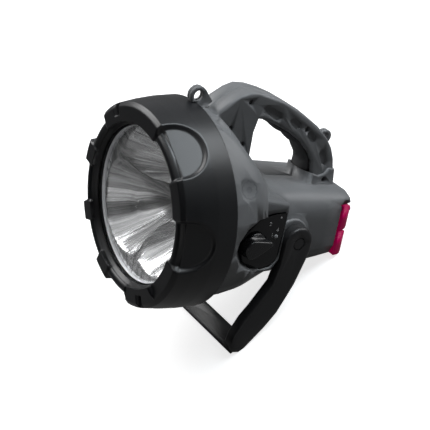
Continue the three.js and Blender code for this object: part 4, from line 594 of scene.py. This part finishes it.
def scoop_share(turn, radius, y):
    """How far a point lies inside one of the scoops, and the scoop's floor there."""
    for middle, half in SCOOPS:
        away = (turn - middle + 180) % 360 - 180
        if abs(away) > half + SCOOP_MARGIN:
            continue
        reach = SCOOP_FLOOR * math.tan(math.radians(half))
        x = SCOOP_FLOOR * math.tan(math.radians(away))
        length = max(y - SCOOP_START, 0.0)
        share = math.hypot(x / reach, length / SCOOP_LENGTH)
        slope = math.hypot(x / reach ** 2, length / SCOOP_LENGTH ** 2) / max(share, NEARLY_ZERO)
        inside = (1 - share) / max(slope, NEARLY_ZERO)
        floor = (SCOOP_FLOOR + SCOOP_RISE * length / SCOOP_LENGTH) / math.cos(math.radians(away))
        return step(inside, 2 * SCOOP_WALL), min(floor, radius)
    return 0.0, radius


def faced(turn, radius, y):
    """The y of a point of the rim after the lands and their notches are cut."""
    for start, end, notch in LANDS:
        inside = min((turn - start) % 360, (end - turn) % 360)
        if inside < 180:
            off = (turn - notch) * math.radians(1) * NOTCH_RADIUS
            cut = step(NOTCH_HALF - abs(off), NOTCH_WALL) * step(radius - NOTCH_RADIUS, NOTCH_WALL)
            face = LAND_FACE + (NOTCH_FLOOR - LAND_FACE) * cut
            y += (max(y, face) - y) * min(inside / LAND_EASE, 1.0)
    return y


def bezel_skin():
    split = DOME.index(FACE_EDGE)
    dome = resampled(DOME[:split + 1], DOME_ROWS)
    front = resampled(DOME[split:] + THROAT[:1], FRONT_ROWS)
    bar = resampled(BAR_FRONT, FRONT_ROWS)
    tail = THROAT[1:] + INNER
    points, faces = [], []
    for column in range(COLUMNS):
        turn = 360 * column / COLUMNS
        sine, cosine = math.sin(math.radians(turn)), math.cos(math.radians(turn))
        ring = []
        for radius, y in dome:
            # The floor ends at the bar, so rows before it are drawn back to where it starts
            share, floor = scoop_share(turn, radius, y)
            ahead = max(SCOOP_START + SCOOP_LIP - y, 0.0) * share
            ring.append((radius + (floor - radius) * share, y + ahead))
        for (radius, y), (bar_radius, bar_y) in zip(front[1:], bar[1:]):
            share, _ = scoop_share(turn, radius, y)
            y = faced(turn, radius, y)
            ring.append((radius + (bar_radius - radius) * share, y + (bar_y - y) * share))
        ring += tail
        points += [(r * sine, y, r * cosine) for r, y in ring]
    width = len(dome) + len(front) - 1 + len(tail)
    for i in range(COLUMNS):
        for j in range(width):
            a, b = i * width, (i + 1) % COLUMNS * width
            k = (j + 1) % width
            faces.append((a + j, a + k, b + k, b + j))
    piece = new_piece("bezel_skin", points, faces, BEZEL, BEZEL_SMOOTH)
    face_outward(piece)
    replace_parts(piece, "bezel")


# Webs that close the creases between the bell and the box: below the handle, and on the right flank
TOP_WEB_Y = [109, 112, 116, 120, 124, 128, 132, 136, 142]
TOP_WEB_MIDDLE = [38.0, 34.3, 28.2, 23.6, 20.6, 19.0, 18.45, 18.1, 17.0]
TOP_WEB_SIDE = [34.3, 30.0, 24.6, 21.4, 19.0, 18.5, 18.1, 17.7, 16.7]
TOP_WEB_SIDE_X, TOP_WEB_HALF, TOP_WEB_CELLS = 28.0, 33.0, 33
FLANK_WEB_Y = [99, 101, 103, 105, 107, 109, 111, 113, 115]
FLANK_WEB_Z = [-26, -17, -3]
FLANK_WEB_X = [
    [-66.3, -63.5, -60.4, -57.3, -55.2, -54.2, -53.1, -51.5, -50.2],
    [-64.2, -61.0, -57.9, -55.7, -53.9, -52.5, -51.4, -50.5, -50.0],
    [-63.7, -61.1, -58.4, -55.8, -53.9, -52.8, -51.8, -50.8, -50.0],
]
FLANK_WEB_CELLS = 24
WEB_THICKNESS, WEB_BORDER = 2.0, 4.0
WEB_PROUD, WEB_SUNK = 0.1, 0.5
WEB_SMOOTH = 50


def web_lift(border):
    """A hair proud in the middle of a web and sunk into the walls at its borders."""
    return WEB_PROUD - (WEB_PROUD + WEB_SUNK) * (1 - step(border - WEB_BORDER / 2, WEB_BORDER))


def top_web(u, v):
    x = TOP_WEB_HALF * (2 * u - 1)
    y = TOP_WEB_Y[0] + (TOP_WEB_Y[-1] - TOP_WEB_Y[0]) * v
    middle, side = (table(list(zip(TOP_WEB_Y, row)), y) for row in (TOP_WEB_MIDDLE, TOP_WEB_SIDE))
    z = middle + (side - middle) * (x / TOP_WEB_SIDE_X) ** 2
    return x, y, z + web_lift(min(TOP_WEB_HALF - abs(x), y - TOP_WEB_Y[0], TOP_WEB_Y[-1] - y))


def flank_web(u, v):
    y = FLANK_WEB_Y[0] + (FLANK_WEB_Y[-1] - FLANK_WEB_Y[0]) * u
    z = FLANK_WEB_Z[0] + (FLANK_WEB_Z[-1] - FLANK_WEB_Z[0]) * v
    across = [table(list(zip(FLANK_WEB_Y, row)), y) for row in FLANK_WEB_X]
    border = min(y - FLANK_WEB_Y[0], FLANK_WEB_Y[-1] - y, z - FLANK_WEB_Z[0], FLANK_WEB_Z[-1] - z)
    return table(list(zip(FLANK_WEB_Z, across)), z) - web_lift(border), y, z


def web(name, surface, cells, inward):
    """A closed sheet over a surface given as a function of two shares."""
    width = cells + 1
    points, faces = [], []
    for level in (0, 1):
        for i in range(width):
            for j in range(width):
                point = surface(i / cells, j / cells)
                points.append(tuple(p + level * WEB_THICKNESS * d for p, d in zip(point, inward)))
    count = width * width
    for i in range(cells):
        for j in range(cells):
            a, b = i * width + j, (i + 1) * width + j
            faces += [(a, b, b + 1, a + 1), (count + a, count + a + 1, count + b + 1, count + b)]
    edge = [i * width for i in range(width)]
    edge += [cells * width + j for j in range(1, width)]
    edge += [i * width + cells for i in range(cells - 1, -1, -1)]
    edge += list(range(cells - 1, 0, -1))
    for a, b in zip(edge, edge[1:] + edge[:1]):
        faces.append((b, a, count + a, count + b))
    face_outward(new_piece(name, points, faces, SHELL, WEB_SMOOTH))


# Dimples round the bell, away from the handle: the CAD's dishes, drawn round and with a crisp edge
DIMPLE_ANGLES = [60, 140, 180, 220, 260, 300]
DIMPLE_Y, DIMPLE_RADIUS, DIMPLE_DEPTH, DIMPLE_LIFT = 67.0, 12.3, 3.1, 3.4
DIMPLE_SIDES, DIMPLE_RINGS = 48, 10
# Least and greatest reach of the rim, the steps in which it is sought, and its height over the wall
RIM_LEAST, RIM_MOST, RIM_SEARCH, RIM_PROUD = 6.0, 16.0, 0.1, 0.04
# Reach past the rim and lift over the wall of the rings that turn down into it
DIMPLE_BRIM = [(0.35, 0.05), (1.0, 0.03), (1.7, -0.25)]
DIMPLE_SMOOTH = 60
CAST_FROM = 140
BESIDE_SEAM = 0.5


def node_corners(name):
    """Corners of a CAD node in the light's frame, in millimetres."""
    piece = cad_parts[name]
    return [UNPLACE @ (piece.matrix_world @ v.co) / MM for v in piece.data.vertices]


def housing_walls():
    """The outer shell of the housing in the light's frame, for finding its surface."""
    corners, faces = [], []
    for name in ("housing_left", "housing_right"):
        start = len(corners)
        corners += node_corners(name)
        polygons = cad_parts[name].data.polygons
        faces += [tuple(start + i for i in face.vertices) for face in polygons]
    return BVHTree.FromPolygons(corners, faces)


def dimple(walls, angle):
    outward = Vector((math.sin(math.radians(angle)), 0, math.cos(math.radians(angle))))
    beside = Vector((outward.z, 0, -outward.x))
    along = Vector((0, 1, 0))
    middle = Vector((0, DIMPLE_Y, 0))
    # Beside the middle, because two dimples lie over the seam of the halves
    lowest = walls.ray_cast(middle + beside * BESIDE_SEAM + outward * CAST_FROM, -outward)[0]
    base = (lowest - middle).dot(outward) + DIMPLE_LIFT

    def dish(reach):
        return base - DIMPLE_DEPTH * (1 - (reach / DIMPLE_RADIUS) ** 2)

    def wall(point, reach):
        hit = walls.ray_cast(point + outward * CAST_FROM, -outward)[0]
        return (hit - middle).dot(outward) if hit else dish(reach)

    points, faces = [tuple(middle + outward * dish(0))], []
    for side in range(DIMPLE_SIDES):
        turn = 2 * math.pi * side / DIMPLE_SIDES
        away = beside * math.cos(turn) + along * math.sin(turn)
        rim = RIM_LEAST
        while rim < RIM_MOST and dish(rim) < wall(middle + away * rim, rim) + RIM_PROUD:
            rim += RIM_SEARCH
        for ring in range(1, DIMPLE_RINGS + 1):
            reach = rim * ring / DIMPLE_RINGS
            points.append(tuple(middle + away * reach + outward * dish(reach)))
        for more, lift in DIMPLE_BRIM:
            spot = middle + away * (rim + more)
            points.append(tuple(spot + outward * (wall(spot, rim + more) + lift)))
    width = DIMPLE_RINGS + len(DIMPLE_BRIM)
    for side in range(DIMPLE_SIDES):
        a, b = 1 + side * width, 1 + (side + 1) % DIMPLE_SIDES * width
        faces.append((0, a, b))
        for ring in range(width - 1):
            faces.append((a + ring, a + ring + 1, b + ring + 1, b + ring))
    face_outward(new_piece("dimple_%d" % angle, points, faces, SHADED_DIMPLE, DIMPLE_SMOOTH), outward=outward)


WALLS = housing_walls()
for angle in DIMPLE_ANGLES:
    dimple(WALLS, angle)
web("crease_web_top", top_web, TOP_WEB_CELLS, (0, 0, -1))
web("crease_web_flank", flank_web, FLANK_WEB_CELLS, (1, 0, 0))
reflector()
ring_piece("reflector_rim", RIM_BEAD, RIM_PAINTED_HIGHLIGHT)
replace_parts(ring_piece("domed_lens", LENS_FRONT + LENS_BACK, GLASS), "front_lens")
bezel_skin()


# Printed marks on the dial, and dark crosses painted as the shade in the screws' drive recesses
DIAL_FACE_X = 62.6
MARK_THICKNESS = 0.06
NUMBER_SIZE = 5.4
# Middle of each number on the dial: y and z of the light's frame
NUMBERS = [("2", 105.9, 0.4), ("4", 115.3, -6.3), ("1", 110.2, -11.4)]
DOT_Y, DOT_Z, DOT_RADIUS, DOT_SIDES = 116.7, 5.8, 0.95, 24
DRIVE_ARM, DRIVE_WIDTH = 1.15, 0.5


def number_mark(text, y, z):
    """A printed figure on the dial, its middle at (y, z) of the light's frame."""
    curve = bpy.data.curves.new("figure", "FONT")
    curve.body = text
    curve.size = NUMBER_SIZE
    curve.extrude = MARK_THICKNESS / 2
    curve.align_x, curve.align_y = "CENTER", "CENTER"
    holder = bpy.data.objects.new("figure", curve)
    bpy.context.scene.collection.objects.link(holder)
    flat = bpy.data.meshes.new_from_object(holder.evaluated_get(bpy.context.evaluated_depsgraph_get()))
    bpy.data.objects.remove(holder)
    points = [(DIAL_FACE_X + MARK_THICKNESS + v.co.z, y + v.co.x, z + v.co.y) for v in flat.vertices]
    faces = [tuple(face.vertices) for face in flat.polygons]
    bpy.data.meshes.remove(flat)
    new_piece("dial_mark_" + text, points, faces, PRINT)


def dot_mark():
    points = []
    for level in (0.5, 1.5):
        for i in range(DOT_SIDES):
            turn = 2 * math.pi * i / DOT_SIDES
            points.append((
                DIAL_FACE_X + level * MARK_THICKNESS,
                DOT_Y + DOT_RADIUS * math.cos(turn), DOT_Z + DOT_RADIUS * math.sin(turn),
            ))
    faces = [tuple(range(DOT_SIDES))[::-1], tuple(range(DOT_SIDES, 2 * DOT_SIDES))]
    for i in range(DOT_SIDES):
        k = (i + 1) % DOT_SIDES
        faces.append((i, k, DOT_SIDES + k, DOT_SIDES + i))
    new_piece("dial_mark_dot", points, faces, PRINT)


def drive_shade_cross(screw):
    """Dark cross standing a hair over the crown of the head: painted shade where the screw's drive recess is.
    """
    corners = node_corners(screw)
    x = max(c.x for c in corners) - MARK_THICKNESS / 2
    y = (max(c.y for c in corners) + min(c.y for c in corners)) / 2
    z = (max(c.z for c in corners) + min(c.z for c in corners)) / 2
    arm, half = DRIVE_ARM, DRIVE_WIDTH / 2
    outline = [
        (arm, half), (half, half), (half, arm), (-half, arm), (-half, half), (-arm, half),
        (-arm, -half), (-half, -half), (-half, -arm), (half, -arm), (half, -half), (arm, -half),
    ]
    points = [(x + level * MARK_THICKNESS, y + a, z + b) for level in (0, 1) for a, b in outline]
    count = len(outline)
    faces = [(i, (i + 1) % count, count + (i + 1) % count, count + i) for i in range(count)]
    # Each side of the cross: its middle square and its four arms
    for start in (0, count):
        faces += [(start + 11, start, start + 1, start + 10), (start + 1, start + 2, start + 3, start + 4)]
        faces += [(start + 1, start + 4, start + 7, start + 10), (start + 4, start + 5, start + 6, start + 7)]
        faces += [(start + 7, start + 8, start + 9, start + 10)]
    new_piece("drive_shade_of_" + screw, points, faces, RUBBER)


for text, y, z in NUMBERS:
    number_mark(text, y, z)
dot_mark()
for name in sorted(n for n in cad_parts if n.startswith("handle_screw")):
    drive_shade_cross(name)


# Studio

SKY_DIRECTION = Vector((-0.45, 0.75, 0.5)).normalized()
SKY_DARK, SKY_EDGE, SKY_FULL = 0.02, -0.25, 0.55
SKY_TINTS = (0.0, 0.0, 0.0), (0.97, 0.985, 1.0)
SKY_FOR_DIFFUSE, SKY_FOR_GLOSS = 0.15, 0.35
FLOOR_HALF_SIZE, FLOOR_DROP = 6.0, 0.0002
FLOOR_SEEN, FLOOR_CLOUD, FLOOR_CLOUD_SCALE, FLOOR_FELT = 0.6, 0.02, 6, 0.05
FLOOR_ROUGHNESS = 0.9
# Seen by the camera the floor glows: little enough near the object to keep its shadow, and fully
# from the far distance on
FLOOR_GLOW, GLOW_NEAR, GLOW_FAR = 0.75, 0.4, 1.0
FLOOR_IN_GLOSS = 0.14


def room():
    """Bright backdrop above and behind, dark room in front, and plain white for the camera."""
    world = bpy.data.worlds.new("studio")
    bpy.context.scene.world = world
    world.use_nodes = True
    tree = world.node_tree
    white = tree.nodes["Background"]
    white.inputs["Color"].default_value = (*WHITE, 1)
    sky = node(tree, "ShaderNodeBackground")
    likeness = dotted(tree, node(tree, "ShaderNodeTexCoord").outputs["Generated"])
    likeness.inputs[1].default_value = SKY_DIRECTION
    fade = node(tree, "ShaderNodeMapRange", interpolation_type="SMOOTHSTEP")
    spans = {"From Min": SKY_EDGE, "From Max": SKY_FULL, "To Min": SKY_DARK, "To Max": 1.0}
    for socket, value in spans.items():
        fade.inputs[socket].default_value = value
    tree.links.new(likeness.outputs["Value"], fade.inputs["Value"])
    wire(tree, mixed(tree, fade.outputs["Result"], *SKY_TINTS), sky.inputs["Color"])
    path = node(tree, "ShaderNodeLightPath")
    dimmed = maths(tree, "MULTIPLY", path.outputs["Is Diffuse Ray"], SKY_FOR_DIFFUSE - SKY_FOR_GLOSS)
    wire(tree, maths(tree, "ADD", dimmed, SKY_FOR_GLOSS), sky.inputs["Strength"])
    blended(tree, path.outputs["Is Camera Ray"], sky, white, "World Output")


def pale_floor():
    """A pale floor that keeps the object's shadow."""
    mesh = bpy.data.meshes.new("floor")
    grown = bmesh.new()
    bmesh.ops.create_grid(grown, x_segments=2, y_segments=2, size=FLOOR_HALF_SIZE)
    grown.to_mesh(mesh)
    floor = bpy.data.objects.new("floor", mesh)
    floor.location.z = -FLOOR_DROP
    bpy.context.scene.collection.objects.link(floor)
    material, tree, shader = new_material("floor")
    path = node(tree, "ShaderNodeLightPath")
    place = object_place(tree)
    cloud = noise(tree, place, FLOOR_CLOUD_SCALE)
    seen = mixed(tree, cloud, (FLOOR_SEEN,) * 3, (FLOOR_SEEN + FLOOR_CLOUD,) * 3)
    tint = mixed(tree, path.outputs["Is Camera Ray"], (FLOOR_FELT,) * 3, seen)
    wire(tree, tint, shader.inputs["Base Color"])
    shader.inputs["Roughness"].default_value = FLOOR_ROUGHNESS
    shader.inputs["Specular IOR Level"].default_value = 0.0
    shader.inputs["Emission Color"].default_value = (*WHITE, 1)
    length = node(tree, "ShaderNodeVectorMath", operation="LENGTH")
    tree.links.new(place, length.inputs[0])
    fade = ranged(tree, length.outputs["Value"], FLOOR_GLOW, 1.0, GLOW_NEAR, GLOW_FAR)
    glow = maths(tree, "MULTIPLY", path.outputs["Is Camera Ray"], fade)
    gloss = maths(tree, "MULTIPLY", path.outputs["Is Glossy Ray"], FLOOR_IN_GLOSS)
    wire(tree, maths(tree, "ADD", glow, gloss), shader.inputs["Emission Strength"])
    mesh.materials.append(material)


# Lamps look at the middle of the object: name, direction, distance, side, watts and colour
MIDDLE = Vector((0, 0, 0.12))
LAMPS = [
    ("behind", (0.1, 1.0, 0.15), 1.3, 0.8, 7.5, WHITE),
    ("above_behind", (0.17, 0.66, 0.72), 1.1, 0.6, 9.5, (0.88, 0.95, 1.0)),
    ("above_left", (-0.65, 0.0, 0.76), 1.3, 0.9, 15.0, WHITE),
    ("above", (0.0, -0.1, 1.0), 1.6, 1.4, 3.0, WHITE),
    ("right_front", (0.85, -0.5, 0.1), 1.5, 1.2, 1.8, WHITE),
]


def lamp(name, direction, distance, side, watts, colour):
    """Soft box looking at the middle of the object from a direction."""
    data = bpy.data.lights.new(name, "AREA")
    data.color = colour
    data.shape = "RECTANGLE"
    data.size, data.size_y = side, side
    data.energy = watts
    made = bpy.data.objects.new(name, data)
    away = Vector(direction).normalized()
    made.location = MIDDLE + away * distance
    made.rotation_mode = "QUATERNION"
    made.rotation_quaternion = (-away).to_track_quat("-Z", "Y")
    bpy.context.scene.collection.objects.link(made)


# Camera in the light's frame: right, up and back directions, and the place in millimetres along them
CAMERA_AXES = [
    Vector((0.52653075, 0.83369775, 0.1664735)),
    Vector((-0.43528275, 0.09616451, 0.89514318)),
    Vector((0.73027001, -0.54378346, 0.41352782)),
]
CAMERA_OFFSETS = (72.5, -8.5, 969.2)
FOCAL_LENGTH = 93.47
SENSOR_WIDTH = 36.0
CLIP_NEAR, CLIP_FAR = 0.01, 50


def camera():
    data = bpy.data.cameras.new("camera")
    data.lens = FOCAL_LENGTH
    data.sensor_width = SENSOR_WIDTH
    data.clip_start, data.clip_end = CLIP_NEAR, CLIP_FAR
    made = bpy.data.objects.new("camera", data)
    right, up, back = (axis * offset for axis, offset in zip(CAMERA_AXES, CAMERA_OFFSETS))
    turn = Matrix([TILT.to_3x3() @ axis for axis in CAMERA_AXES]).transposed().to_4x4()
    made.matrix_world = Matrix.Translation(at(*(right + up + back))) @ turn
    bpy.context.scene.collection.objects.link(made)
    bpy.context.scene.camera = made


room()
pale_floor()
camera()
for lamp_facts in LAMPS:
    lamp(*lamp_facts)
bpy.context.scene.view_settings.view_transform = "Standard"
